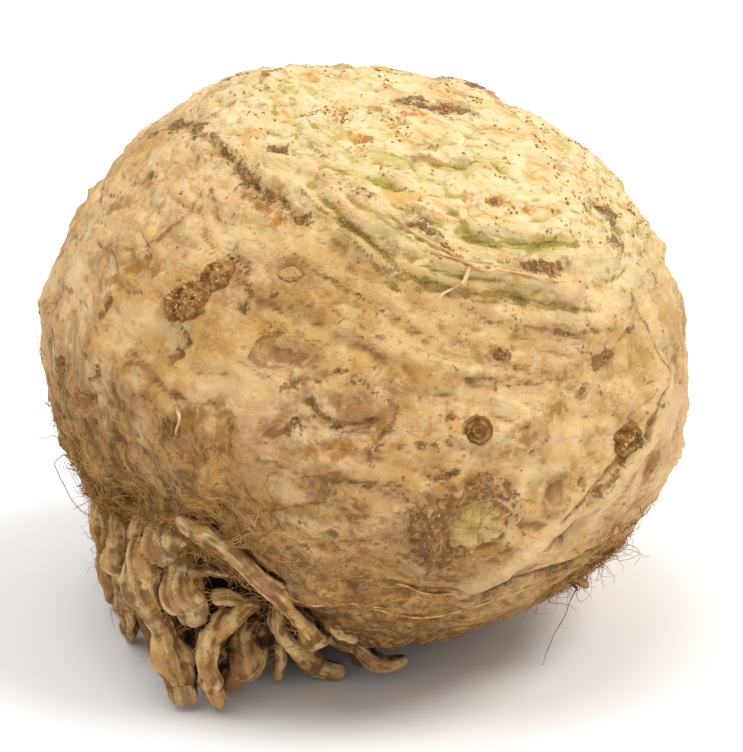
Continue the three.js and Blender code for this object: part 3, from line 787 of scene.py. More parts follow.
def bulb_finish():
    """The bulb's skin: its own colour, then earth (partly painted shade on the lower side), marks, creases
    and scars, cork, and last painted shade in the gaps by the roots.
    """
    f = Finish("celeriac_skin")
    crown, earthy, matted = f.layer("crown"), f.layer("earthy"), f.layer("matted")
    growth = f.rings_round(CROWN, 4)
    sweep = f.rings_round(SWEEP, 3)
    streak = f.noise(16, 3, 0.5, growth, 0.6)
    fibre = f.noise(8, 7, 0.68, sweep, 1.0)
    mottle = f.noise(4, 6, 0.65)
    grain = f.noise(1.2, 4, 0.65)
    patch = f.maths("MULTIPLY_ADD", mottle, 0.65, f.times(grain, 0.35))
    crease = f.ragged(f.layer("crease"), f.noise(2.2, 5, 0.7, shift=7.7), 2.4, 0.5, 1.05)
    cork = f.ragged(f.layer("cork"), f.noise(1.7, 5, 0.7), 3.0, 0.4, 0.75)

    tint = clean_skin(f, crown, growth, streak, mottle)
    tint = marked_skin(f, tint, crown, streak, mottle, grain, patch)
    # The earthy skin over the lower side: its own brown, spread wide and darkened as painted shade of that
    # side.
    earthy_edge = f.ragged(earthy, f.noise(13, 7, 0.62, sweep, 0.5), 3.4, 0.1, 1.0)
    tint = f.mix(f.times(earthy_edge, 0.85), tint, earthy_skin(f, fibre, mottle, grain))
    # Pale patches, with a painted highlight along the right fold's ridge.
    pale_and_ridge_highlight = f.ragged(f.layer("pale_and_ridge_highlight"), patch, 1.6, 0.25, 0.9)
    tint = f.mix(f.times(pale_and_ridge_highlight, 0.6), tint, f.mix(0.45, CREAM, PALE_YELLOW))
    # Dark brown broken up by grain over the matted root zone: partly the fibres' own brown, partly painted
    # shade between the roots and the bulb.
    tint = f.mix(f.times(matted, f.step(grain, 0.6, 0.42, 0.1, 0.85)), tint, DARK_EARTH_AND_SHADE)
    tint = creased_skin(f, tint, crown, growth, crease)
    tint = scarred_skin(f, tint, mottle, patch)
    tint = freckled_skin(f, tint)
    halo = f.ragged(f.layer("cork"), patch, 2.4, 0.15, 0.7)
    tint = f.mix(f.times(halo, 0.6), tint, STAIN)
    tint = f.mix(f.times(cork, 0.85), tint, cork_colour(f))
    # Painted shade, darkest deep in the gaps between the roots and the bulb.
    tint = f.mix(f.ragged(f.layer("gap_shade"), mottle, 0.7, 0.3, 0.8), tint, PAINTED_GAP_SHADE)

    normal = f.bump(streak, 0.9)
    normal = f.bump(crease, -0.3, normal)
    normal = f.bump(f.times(fibre, earthy), 1.8, normal)
    normal = f.bump(mottle, 0.9, normal)
    normal = f.bump(grain, 0.35, normal)
    normal = f.bump(f.times(f.noise(0.9, 5, 0.7), f.maths("MAXIMUM", cork, matted)), 0.9, normal)
    dull = f.times(f.maths("MAXIMUM", cork, earthy), 0.85)
    rough = f.maths("MAXIMUM", f.step(mottle, 0.3, 0.7, 0.52, 0.68), dull)
    return f.done(tint, rough, normal)


def cork_finish():
    """Knobs of cork, with growth rings round their middle, painted dark in the hollows between their ridges
    and light on the ridge tops: painted shade and painted highlight.
    """
    f = Finish("root_scar_cork")
    ring = f.maths("MULTIPLY_ADD", f.maths("SUBTRACT", f.noise(1.5, 3), 0.5), 0.6, f.layer("growth_rings"))
    groove = f.step(f.maths("SINE", f.maths("MULTIPLY", ring, 2 * math.pi)), -0.2, 0.9)
    tint = f.mix(0.2, cork_colour(f, 1.6), STAIN)
    # Painted shade in the hollows between the knob's ridges.
    tint = f.mix(f.step(f.layer("ridged"), 0.1, -0.5, 0, 0.9), tint, CORK_DARK)
    # Painted highlight on the knob's ridge tops.
    tint = f.mix(f.step(f.layer("ridged"), 0.25, 0.5, 0, 0.5), tint, CORK_LIGHT)
    tint = f.mix(f.times(groove, f.layer("ringed"), 0.65), tint, CORK_DARK)
    tint = f.mix(f.ragged(f.layer("from_middle"), f.noise(1.3, 4, 0.65), 0.8, 0.9, 1.1), tint, STAIN)
    tint = f.mix(f.layer("pale"), tint, CREAM)
    normal = f.bump(f.noise(1.3, 5, 0.7), 1.5)
    normal = f.bump(f.times(groove, f.layer("ringed")), 0.25, normal)
    return f.done(tint, 0.85, normal, 0.2)


def cut_finish():
    """The dried face of a cut root: yellow-green, with creases that run out from its middle."""
    f = Finish("cut_root_face")
    creases = f.noise(2.2, 4, 0.6, f.layer("spoke", "Vector"), 0.3)
    tint = f.mix(f.step(f.noise(3.5, 5), 0.38, 0.6), colour(0xD6B978), colour(0xBE9C58))
    tint = f.mix(f.step(creases, 0.54, 0.68, 0, 0.65), tint, colour(0x8A6836))
    tint = f.mix(f.step(f.noise(5, 5, 0.65, shift=0.9), 0.52, 0.64, 0, 0.6), tint, colour(0xA5873F))
    tint = f.mix(f.step(f.noise(1.4, 4, 0.65), 0.55, 0.65, 0, 0.6), tint, STAIN)
    edge = f.ragged(f.layer("from_middle"), f.noise(1.6, 5, 0.7), 0.7, 0.86, 1.0)
    tint = f.mix(f.times(edge, 0.8), tint, CORK_MID)
    normal = f.bump(creases, 0.5)
    normal = f.bump(f.noise(3, 5, 0.65), 1.2, normal)
    normal = f.bump(f.noise(0.9, 4), 0.5, normal)
    return f.done(tint, 0.7, normal, 0.3)


def root_finish(name, dark, light, shade):
    """Side roots: skin with fine creases along and across it, browner at the bulb and paler at the tip. The
    dark grooves and the brown at the bulb are partly painted shade, and shade is a share of painted shade
    over the whole root.
    """
    f = Finish(name)
    grain = f.layer("grain", "Vector")
    along = f.noise(2.0, 6, 0.65, grain, 0.3)
    mottle = f.noise(5, 5, 0.65)
    fine = f.noise(1.1, 4, 0.65)
    tint = f.mix(f.step(mottle, 0.38, 0.6), dark, light)
    tint = f.mix(f.step(along, 0.5, 0.62, 0, 0.6), tint, colour(0x946636))
    tint = f.mix(f.step(along, 0.44, 0.34, 0, 0.45), tint, light)
    # Painted shade in the root's grooves.
    tint = f.mix(f.step(f.layer("hollow"), 0.08, 0.4, 0, 0.8), tint, colour(0x75491F))
    # Mottled dark brown near the bulb: partly soil, partly painted shade where the root meets the bulb.
    tint = f.mix(f.times(f.layer("near_bulb"), f.step(fine, 0.62, 0.42, 0.25, 0.85)), tint, DARK_EARTH_AND_SHADE)
    tint = f.mix(f.times(f.layer("near_tip"), 0.5), tint, colour(0xD3A87C))
    tint = f.mix(f.step(f.noise(7, 4, shift=2.2), 0.54, 0.66, 0, 0.5), tint, BLUSH)
    tint = f.mix(f.step(fine, 0.58, 0.7, 0, 0.5), tint, CREASE_BROWN)
    spots = f.times(f.step(f.spots(2.2), 0.24, 0.12), f.step(f.noise(5, 3, shift=1.9), 0.5, 0.58))
    tint = f.mix(f.times(spots, 0.6), tint, CORK_DARK)
    # Painted shade over the whole root, as strong as shade says.
    tint = f.mix(shade, tint, DARK_EARTH_AND_SHADE)
    # Painted shade, darkest deep in the gaps between the roots.
    tint = f.mix(f.ragged(f.layer("gap_shade"), mottle, 0.7, 0.4, 0.85), tint, PAINTED_GAP_SHADE)
    normal = f.bump(along, 1.4)
    normal = f.bump(mottle, 0.6, normal)
    normal = f.bump(fine, 0.5, normal)
    return f.done(tint, 0.72, normal, 0.3)


def plain_finish(name, dark, light, roughness, size=3.0):
    """Hairs, threads and flakes: two tones of one colour, with a little grain."""
    f = Finish(name)
    tint = f.mix(f.step(f.noise(size, 3), 0.4, 0.6), dark, light)
    return f.done(tint, roughness, f.bump(f.noise(0.5, 2), 0.04), 0.25)


# ---- Knobs and the cut face ------------------------------------------------------------------------------

def patch_grid(place, half_length, half_width, turn, rings, spokes, seed, uneven=0.24):
    """Directions of a round net laid over a place, each ring's share of the way out, and its squares."""
    out, right, up = tangents(place)
    share = np.concatenate([[0.0], np.repeat(np.arange(1, rings + 1) / rings, spokes)])
    angle = np.concatenate([[0.0], np.tile(np.arange(spokes) * (2 * math.pi / spokes), rings)])
    around = np.stack([np.cos(angle), np.sin(angle), np.full(len(angle), float(seed))], axis=1)
    wobble = 1 + uneven * layered(around, 0.7, seed)
    x, y = share * wobble * half_length * np.cos(angle), share * wobble * half_width * np.sin(angle)
    c, s = math.cos(math.radians(turn)), math.sin(math.radians(turn))
    flat = np.outer(x * c - y * s, right) + np.outer(x * s + y * c, up)
    faces = [(0, 1 + k, 1 + (k + 1) % spokes) for k in range(spokes)]
    for ring in range(rings - 1):
        inner, outer = 1 + ring * spokes, 1 + (ring + 1) * spokes
        for k in range(spokes):
            after = (k + 1) % spokes
            faces.append((inner + k, outer + k, outer + after, inner + after))
    return unit(out + flat / SKIN_RADIUS), share, angle, faces


def joined(name, parts):
    """One piece from (points, faces, layers) parts."""
    points, faces, layers, start = [], [], {}, 0
    for part_points, part_faces, part_layers in parts:
        points.append(part_points)
        faces += [tuple(start + corner for corner in face) for face in part_faces]
        for layer, values in part_layers.items():
            layers.setdefault(layer, []).append(values)
        start += len(part_points)
    return mesh_piece(name, np.vstack(points), faces, {k: np.concatenate(v) for k, v in layers.items()})


def cork_knobs(tree):
    """The raised corky knobs, each a ridged dome that dips in the middle."""
    parts = []
    for seed, (place, half_length, half_width, turn, tall, rings) in enumerate(KNOBS):
        uneven = 0.26 if rings < 2.5 else 0.07
        size = (half_length, half_width, turn)
        directions, share, _, faces = patch_grid(place, *size, 26, 64, seed, uneven)
        at = directions * SKIN_RADIUS
        dome = (1 - share ** 2.2) * tall - 0.28 * tall * np.exp(-(share / 0.35) ** 2)
        ridged = 0.5 - 2.0 * np.abs(layered(at, 2.6, seed + 200, 3))
        rough = ridged * 1.1 * min(tall, 1.0)
        steps = 0.12 * np.cos(2 * math.pi * rings * share) * (rings > 0)
        edge = -0.45 * step(share, 0.86, 1.0)
        height = dome + rough + steps + edge
        distance = cast(tree, directions) + height * MM
        ones = np.ones(len(share))
        layers = {
            "growth_rings": share * max(rings, 1), "ringed": ones * min(rings / 3, 1), "from_middle": share,
            "pale": ones * (0.7 if rings == 0 else 0.0), "ridged": ridged,
            "flaky": ones * (tall > 0.9) * step(share, 0.95, 0.6),
        }
        parts.append((BULB_MIDDLE + directions * distance[:, None], faces, layers))
    return joined("cork_knobs", parts)


def cut_face(tree):
    """The shrunken, creased face of the cut root."""
    place, half_length, half_width = CUT_FACE
    directions, share, angle, faces = patch_grid(place, half_length, half_width, 10, 30, 96, 31, 0.34)
    spoke = np.stack([np.cos(angle) * 1.2, np.sin(angle) * 1.2, share * 0.5], axis=1) * half_length * MM
    creased = layered(spoke / MM, 1.6, 77, 3)
    lumpy = layered(directions * SKIN_RADIUS, 3.0, 78, 3)
    height = 0.4 + 0.9 * lumpy + 0.15 * creased * share - 1.1 * step(share, 0.65, 1.0)
    distance = evened_patch(cast(tree, directions), share) + height * MM
    points = BULB_MIDDLE + directions * distance[:, None]
    return joined("cut_root_face", [(points, faces, {"spoke": spoke, "from_middle": share})])


def evened_patch(distance, share):
    """The skin's distance under a patch, made flat towards the patch's middle."""
    level = distance[share > 0.8].mean()
    return level + (distance - level) * step(share, 0.3, 1.0)


# ---- Side roots ------------------------------------------------------------------------------------------

ROOT_STEP = 0.4  # mm between the rings of a side root's skin
ROOT_SPOKES = 32  # points round a side root's skin
INSIDE_BULB = 3.5  # mm that a side root goes on into the bulb
THINNEST_ROOT = 0.7  # mm of radius
SHELTER_REACH = 9.0  # mm within which a neighbour shelters a point
SHELTER_LOOKS = 12  # ways that each point looks
SHELTER_TOP = 52.0  # mm above the ground where the roots end


def tube(line, radius, spokes, shape=None):
    """Skin round a middle line: its points and faces, with both ends closed.

    Shape, where given, says how much each point's radius changes.
    """
    run = unit(np.gradient(line, axis=0))
    side = [unit(np.cross(run[0], [0.3, 0.2, 0.93]))]
    for here in run[1:]:
        side.append(unit(side[-1] - here * (side[-1] @ here)))
    side = np.array(side)
    other = np.cross(run, side)
    angle = np.tile(np.arange(spokes) * (2 * math.pi / spokes), len(line))
    row = np.repeat(np.arange(len(line)), spokes)
    out = side[row] * np.cos(angle)[:, None] + other[row] * np.sin(angle)[:, None]
    wide = radius[row]
    if shape:
        wide = wide + shape(line[row] + out * wide[:, None], angle, row)
    points = np.vstack([line[row] + out * wide[:, None], line[:1], line[-1:] + run[-1:] * 0.1 * radius[-1]])
    faces = []
    for near in range(0, (len(line) - 1) * spokes, spokes):
        for k in range(spokes):
            after = (k + 1) % spokes
            faces.append((near + k, near + after, near + spokes + after, near + spokes + k))
    end = len(line) * spokes
    faces += [((k + 1) % spokes, k, end) for k in range(spokes)]
    faces += [(end - spokes + k, end - spokes + (k + 1) % spokes, end + 1) for k in range(spokes)]
    return points, faces


def merged(mesh):
    """A CAD node's points and edges, with the points that coincide made one."""
    points = np.array([v.co for v in mesh.vertices]) / MM
    kept, renamed = np.unique(np.round(points, 3), axis=0, return_inverse=True)
    edges = renamed.ravel()[np.array([e.vertices for e in mesh.edges])]
    return kept, edges


def walk_from(start, points, edges):
    """Distance over the mesh's edges from one point to each other one."""
    near = [[] for _ in points]
    for a, b in edges:
        gap = float(np.linalg.norm(points[a] - points[b]))
        near[a].append((b, gap))
        near[b].append((a, gap))
    reached, queue = np.full(len(points), np.inf), [(0.0, int(start))]
    reached[start] = 0
    while queue:
        so_far, here = heapq.heappop(queue)
        if so_far > reached[here]:
            continue
        for there, gap in near[here]:
            if so_far + gap < reached[there]:
                reached[there] = so_far + gap
                heapq.heappush(queue, (so_far + gap, int(there)))
    return reached


def radius_round(points, line, n):
    """Mean distance of points from the straight run of a middle line at its n-th point."""
    run = unit(line[min(n + 1, len(line) - 1)] - line[max(n - 1, 0)])
    offset = points - line[n]
    return np.linalg.norm(offset - np.outer(offset @ run, run), axis=1).mean() * 1.1


def middle_line(node):
    """Points along the middle of a CAD root from the bulb to its tip, and its radius at each, in mm."""
    points, edges = merged(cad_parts[node].data)
    one_end = int(np.argmax(walk_from(0, points, edges)))
    other_end = int(np.argmax(walk_from(one_end, points, edges)))
    middle = BULB_MIDDLE / MM
    ends = sorted((one_end, other_end), key=lambda end: np.linalg.norm(points[end] - middle))
    walked = walk_from(ends[0], points, edges)
    length = walked[np.isfinite(walked)].max()
    groups = max(4, int(length / 3))
    which = np.minimum((walked / length * groups).astype(int), groups - 1)
    rings = [points[which == group] for group in range(groups) if np.any(which == group)]
    line = [ring.mean(axis=0) for ring in rings]
    radius = [radius_round(ring, line, n) for n, ring in enumerate(rings)]
    line = np.vstack([line, points[ends[1]]])
    radius = np.array([radius[1], *radius[1:], radius[-1]])
    return line, np.maximum(radius, THINNEST_ROOT)


def side_root(node, seed):
    """The skin of a CAD root, which goes on into the bulb and tapers there."""
    coarse, coarse_radius = (values[1:] for values in middle_line(node))
    to_middle = unit(BULB_MIDDLE / MM - coarse[0])
    inward = unit(to_middle + unit(coarse[0] - coarse[1]))
    coarse = np.vstack([coarse[0] + inward * 3 + to_middle * 7, coarse[0] + inward * INSIDE_BULB, coarse])
    coarse_radius = np.concatenate([[coarse_radius[0] * 0.5, coarse_radius[0] * 0.85], coarse_radius])
    return mesh_piece("side_" + node, *root_skin(coarse, coarse_radius * 1.2, seed, ROOT_SPOKES))


def root_skin(coarse, coarse_radius, seed, spokes):
    """A root's points in metres, faces and layers, from points along its middle and its radius there."""
    fine = smooth_path(coarse, 12)
    walked = np.concatenate([[0], np.cumsum(np.linalg.norm(np.diff(fine, axis=0), axis=1))])
    length = walked[-1]
    at = np.linspace(0, length, int(length / ROOT_STEP) + 1)
    line = np.stack([np.interp(at, walked, fine[:, k]) for k in range(3)], axis=1)
    away = np.stack([layered(line, 9.0, seed + 340 + k, 2) for k in range(3)], axis=1)
    line += away * 0.9 * step(at, 2.0, 8.0)[:, None]
    radius = np.interp(at, np.linspace(0, length, len(coarse_radius)), coarse_radius)
    radius *= 1 + 0.12 * np.exp(-((at - INSIDE_BULB) / 2.5) ** 2)
    to_tip = np.clip((at - (length - 1.3 * radius[-1])) / (1.3 * radius[-1]), 0, 1)
    radius *= np.sqrt(np.clip(1 - to_tip ** 2.2, 0, 1))
    creased = []

    def wrinkled(skin, angle, row):
        wide, far = radius[row], at[row]
        around = np.stack([np.cos(angle) * wide, np.sin(angle) * wide, far * 0.14], axis=1)
        across = np.stack([np.cos(angle) * 1.2, np.sin(angle) * 1.2, far * 1.5], axis=1)
        grooves = np.abs(layered(around, 2.6, seed + 300, 3)) * 1.3 - 0.45
        wrinkles = layered(across, 2.6, seed + 330, 2)
        twist = layered(line, 16.0, seed + 350, 2)[row] * 3
        flat = 0.2 * np.cos(2 * (angle + twist + seed))
        creased[:] = [around, grooves + 0.4 * wrinkles, far]
        change = (0.3 * grooves + 0.07 * wrinkles + flat + 0.14 * layered(skin, 7.5, seed + 310, 2)) * wide
        return change * step(wide, 0.0, 0.8)

    points, faces = tube(line, radius, spokes, wrinkled)
    around, groove, far = creased
    points[:, 2] = np.maximum(points[:, 2], 0.05)
    layers = {
        "grain": np.vstack([around, [[0, 0, 0], [0, 0, length * 0.14]]]) * MM,
        "hollow": np.append(-groove, [0, 0]),
        "near_bulb": np.append(step(far, INSIDE_BULB + 7, INSIDE_BULB), [1, 0]),
        "near_tip": np.append(step(far, length - 4, length - 0.5), [0, 1]),
    }
    return points * MM, faces, layers


def mark_gap_shade(pieces):
    """Gives each point of the pieces a layer that says how deep it lies in the gaps between them, where the
    finishes paint shade.
    """
    points, faces = [], []
    for piece in pieces:
        faces += [tuple(len(points) + corner for corner in p.vertices) for p in piece.data.polygons]
        points += [v.co.copy() for v in piece.data.vertices]
    tree = BVHTree.FromPolygons(points, faces)
    rise = (np.arange(SHELTER_LOOKS) + 0.5) * 2 / SHELTER_LOOKS - 1
    turn = np.arange(SHELTER_LOOKS) * math.pi * (3 - math.sqrt(5))
    flat = np.sqrt(1 - rise ** 2)
    looks = [Vector(look) for look in np.stack([flat * np.cos(turn), flat * np.sin(turn), rise], axis=1)]
    for piece in pieces:
        shelter = np.zeros(len(piece.data.vertices))
        for n, vertex in enumerate(piece.data.vertices):
            if vertex.co.z > SHELTER_TOP * MM:
                continue
            start = vertex.co + vertex.normal * 0.4 * MM
            open_looks = [look for look in looks if look.dot(vertex.normal) > 0.1]
            met = [tree.ray_cast(start, look, SHELTER_REACH * MM)[0] for look in open_looks]
            shelter[n] = sum(place is not None for place in met) / max(len(met), 1)
        set_layer(piece, "gap_shade", shelter)


def tangle(name, tree, place, spread, count, front, back, right):
    """Fine roots that fill the space behind the side roots, from the bulb's underside down to the ground.

    They start within a spread in degrees round a place, between a front, a back and a right limit in mm.
    """
    draw = np.random.default_rng(SEED + count)
    parts = []
    while len(parts) < count:
        start = unit(toward(*place) + draw.normal(0, 0.36, 3))
        steep = -start[2]
        if start @ toward(*place) < math.cos(math.radians(spread)) or steep > 0.9 or steep < 0.3:
            continue
        skin = (BULB_MIDDLE + start * cast(tree, start[None])[0]) / MM
        if not (front < skin[1] < back and skin[0] < right):
            continue
        end = skin * [0.84, 0.8, 0] + [draw.uniform(-4, 4), draw.uniform(-3, 5), draw.uniform(0.6, 5)]
        bends = draw.normal(0, 2.4, (3, 3))
        path = [skin - start * 3, skin + start * 1.5]
        path += [skin + (end - skin) * share + bend for share, bend in zip((0.35, 0.6, 0.82), bends)]
        radius = draw.uniform(0.9, 2.1) * np.array([1.3, 1.1, 1.0, 0.95, 0.8, 0.5])
        parts.append(root_skin(np.array([*path, end]), radius, 500 + len(parts), 12))
    return joined(name, parts)


# ---- Repeated things, by geometry nodes ------------------------------------------------------------------

HAIR_CLEARANCE = 0.0001  # metres that what grows keeps above the ground


def geometry_tree(name, numbers):
    """An empty tree with a mesh going in, geometry coming out and named number inputs."""
    tree = bpy.data.node_groups.new(name, "GeometryNodeTree")
    tree.interface.new_socket("Geometry", in_out="INPUT", socket_type="NodeSocketGeometry")
    tree.interface.new_socket("Geometry", in_out="OUTPUT", socket_type="NodeSocketGeometry")
    for label, kind, value in numbers:
        tree.interface.new_socket(label, in_out="INPUT", socket_type=kind).default_value = value
    tree.interface.new_socket("Finish", in_out="INPUT", socket_type="NodeSocketMaterial")
    return tree


class Growth:
    """Adds nodes to a geometry tree."""

    def __init__(self, tree):
        self.tree = tree
        self.given = tree.nodes.new("NodeGroupInput").outputs
        self.result = tree.nodes.new("NodeGroupOutput")

    def add(self, kind, settings=None, inputs=None):
        made = self.tree.nodes.new(kind)
        for name, value in (settings or {}).items():
            setattr(made, name, value)
        for name, value in (inputs or {}).items():
            if isinstance(value, bpy.types.NodeSocket):
                self.tree.links.new(value, made.inputs[name])
            else:
                made.inputs[name].default_value = value
        return made

    def here(self):
        return self.add("GeometryNodeInputPosition").outputs[0]

    def times(self, first, second):
        return self.add("ShaderNodeMath", {"operation": "MULTIPLY"}, {0: first, 1: second}).outputs[0]

    def vectors(self, operation, first, second=(0, 0, 0)):
        return self.add("ShaderNodeVectorMath", {"operation": operation}, {0: first, 1: second}).outputs[0]

    def scaled(self, vector, size):
        made = self.add("ShaderNodeVectorMath", {"operation": "SCALE"}, {0: vector, "Scale": size})
        return made.outputs[0]

    def random(self, low, high, kind="FLOAT"):
        least, most, result = {"FLOAT": (2, 3, 1), "FLOAT_VECTOR": (0, 1, 0)}[kind]
        made = self.add("FunctionNodeRandomValue", {"data_type": kind}, {
            least: low, most: high, "Seed": self.given["Seed"]})
        return made.outputs[result]

    def strewn(self, thing, layer, size, least, most, lean):
        """Copies of a thing on the ground, as close as a layer says, of random size, turn and lean."""
        given = self.given
        strength = self.add("GeometryNodeInputNamedAttribute", {"data_type": "FLOAT"}, {"Name": layer})
        density = self.times(strength.outputs["Attribute"], given["Per Square Metre"])
        spots = self.add("GeometryNodeDistributePointsOnFaces", None, {
            "Mesh": given["Geometry"], "Density": density, "Seed": given["Seed"]}).outputs
        turn = self.random((-lean, -lean, -3.1), (lean, lean, 3.1), "FLOAT_VECTOR")
        turn = self.add("FunctionNodeEulerToRotation", None, {0: turn}).outputs[0]
        turn = self.add("FunctionNodeRotateRotation", {"rotation_space": "LOCAL"}, {
            "Rotation": spots["Rotation"], "Rotate By": turn}).outputs[0]
        copies = self.add("GeometryNodeInstanceOnPoints", None, {
            "Points": spots["Points"], "Instance": thing, "Rotation": turn,
            "Scale": self.times(size, self.random(least, most))}).outputs[0]
        return self.add("GeometryNodeRealizeInstances", None, {0: copies}).outputs[0]

    def swayed(self, geometry, waves, detail, reach):
        """Geometry whose points are pushed about by soft noise with so many waves in a metre."""
        noise = self.add("ShaderNodeTexNoise", None, {
            "Vector": self.here(), "Scale": waves, "Detail": detail})
        push = self.scaled(self.vectors("SUBTRACT", noise.outputs["Color"], (0.5, 0.5, 0.5)), reach)
        return self.add("GeometryNodeSetPosition", None, {"Geometry": geometry, "Offset": push}).outputs[0]

    def end(self, geometry):
        real = self.add("GeometryNodeRealizeInstances", None, {0: geometry}).outputs[0]
        painted = self.add("GeometryNodeSetMaterial", None, {
            "Geometry": real, "Material": self.given["Finish"]})
        self.tree.links.new(painted.outputs[0], self.result.inputs[0])


def grown(name, tree, ground, finish, **values):
    """Runs a tree on a mesh and returns what it grows as a plain mesh piece."""
    modifier = ground.modifiers.new(name, "NODES")
    modifier.node_group = tree
    inputs = {socket.name: socket.identifier for socket in tree.interface.items_tree}
    for label, value in values.items():
        modifier[inputs[label.replace("_", " ")]] = value
    modifier[inputs["Finish"]] = finish
    ground.update_tag()
    seen = ground.evaluated_get(bpy.context.evaluated_depsgraph_get())
    mesh = bpy.data.meshes.new_from_object(seen)
    mesh.name = name
    ground.modifiers.remove(modifier)
    points = np.empty(len(mesh.vertices) * 3, np.float32)
    mesh.vertices.foreach_get("co", points)
    points[2::3] = np.maximum(points[2::3], HAIR_CLEARANCE)
    mesh.vertices.foreach_set("co", points)
    piece = bpy.data.objects.new(name, mesh)
    bpy.context.scene.collection.objects.link(piece)
    return piece


def hair_tree():
    """Tapered curly hairs that grow where the ground's hairy layer is strong, and cling to the ground."""
    tree = geometry_tree("root_hair", [
        ("Per Square Metre", "NodeSocketFloat", 1e6), ("Length", "NodeSocketFloat", 0.006),
        ("Thickness", "NodeSocketFloat", 0.0001), ("Curl", "NodeSocketFloat", 0.003),
        ("Cling", "NodeSocketFloat", 0.6), ("Lift", "NodeSocketFloat", 0.0003),
        ("Seed", "NodeSocketInt", 1)])
    g = Growth(tree)
    given = g.given
    hair = g.add("GeometryNodeCurvePrimitiveLine", None, {"Start": (0, 0, 0), "End": (0, 0, 1)}).outputs[0]
    hair = g.add("GeometryNodeResampleCurve", None, {"Curve": hair, "Count": 9}).outputs[0]
    hairs = g.strewn(hair, "hairy", given["Length"], 0.4, 1.5, 1.3)
    from_root = g.add("GeometryNodeSplineParameter").outputs["Factor"]
    hairs = g.swayed(hairs, 260.0, 2.0, g.times(from_root, given["Curl"]))
    here = g.here()
    ground = g.add("GeometryNodeProximity", {"target_element": "FACES"}, {0: given["Geometry"]})
    out = g.vectors("NORMALIZE", g.vectors("SUBTRACT", here, tuple(BULB_MIDDLE)))
    lying = g.vectors("ADD", ground.outputs["Position"], g.scaled(out, given["Lift"]))
    placed = g.add("ShaderNodeMix", {"data_type": "VECTOR"}, {0: given["Cling"], 4: here, 5: lying})
    hairs = g.add("GeometryNodeSetPosition", None, {"Geometry": hairs, "Position": placed.outputs[1]})
    taper = g.add("ShaderNodeMapRange", None, {0: from_root, 3: 1.0, 4: 0.35}).outputs[0]
    outline = g.add("GeometryNodeCurvePrimitiveCircle", None, {
        "Resolution": 3, "Radius": g.times(given["Thickness"], 0.5)})
    tubes = g.add("GeometryNodeCurveToMesh", None, {
        "Curve": hairs.outputs[0], "Profile Curve": outline.outputs[0], "Scale": taper})
    g.end(tubes.outputs[0])
    return tree


def flake_tree():
    """Small dry flakes and crumbs, strewn where the ground's flaky layer is strong."""
    tree = geometry_tree("skin_flake", [
        ("Per Square Metre", "NodeSocketFloat", 1e5), ("Size", "NodeSocketFloat", 0.0004),
        ("Crumple", "NodeSocketFloat", 0.0007), ("Flatness", "NodeSocketFloat", 0.3),
        ("Seed", "NodeSocketInt", 1)])
    g = Growth(tree)
    flake = g.add("GeometryNodeMeshIcoSphere", None, {"Radius": 1.0, "Subdivisions": 1}).outputs["Mesh"]
    shape = g.add("ShaderNodeCombineXYZ", None, {"X": 1.0, "Y": 0.6, "Z": g.given["Flatness"]}).outputs[0]
    flake = g.add("GeometryNodeTransform", None, {"Geometry": flake, "Scale": shape}).outputs[0]
    flakes = g.strewn(flake, "flaky", g.given["Size"], 0.35, 1.6, 0.5)
    g.end(g.swayed(flakes, 1800.0, 1.0, g.given["Crumple"]))
    return tree


def set_layer(piece, name, values):
    layer = piece.data.attributes.new(name, "FLOAT", "POINT")
    layer.data.foreach_set("value", np.asarray(values, np.float32))


def layer_of(piece, name):
    values = np.empty(len(piece.data.vertices), np.float32)
    piece.data.attributes[name].data.foreach_get("value", values)
    return values.astype(float)


def directions_of(piece):
    points = np.empty(len(piece.data.vertices) * 3, np.float32)
    piece.data.vertices.foreach_get("co", points)
    return unit(points.reshape(-1, 3).astype(float) - BULB_MIDDLE)


# Where hair grows: place on the bulb, spread in degrees and strength.
HAIR_ZONES = [
    ((-55, -21), 13, 1.0), ((-22, -10), 8, 0.5), ((-34, -20), 11, 0.9), ((-75, -32), 18, 0.8),
    ((-110, -38), 28, 0.7), ((-150, -45), 30, 0.5), ((60, -33), 9, 0.8), ((70, -42), 12, 0.8),
    ((14, -14), 7, 0.2),
]
FELT_ZONES = [
    ((-24, -30), 26, 1.0), ((10, -28), 16, 0.9), ((30, -28), 12, 0.8), ((45, -30), 12, 1.0),
    ((-58, -10), 16, 0.5), ((9, -10), 6, 0.8), ((-110, -50), 35, 0.8), ((150, -60), 40, 0.6),
    ((80, -50), 25, 0.8), ((58, -22), 10, 0.6),
]


def grown_over(directions, zones, seed, patchiness=1.1):
    """How densely each point of the bulb's skin is grown over."""
    cover = np.zeros(len(directions))
    for place, spread, strength in zones:
        angle = np.degrees(np.arccos(np.clip(directions @ toward(*place), -1, 1)))
        cover = np.maximum(cover, strength * np.exp(-(angle / spread) ** 2))
    return np.clip(cover * (0.7 + patchiness * layered(directions * SKIN_RADIUS, 8, seed)), 0, 1) ** 1.5


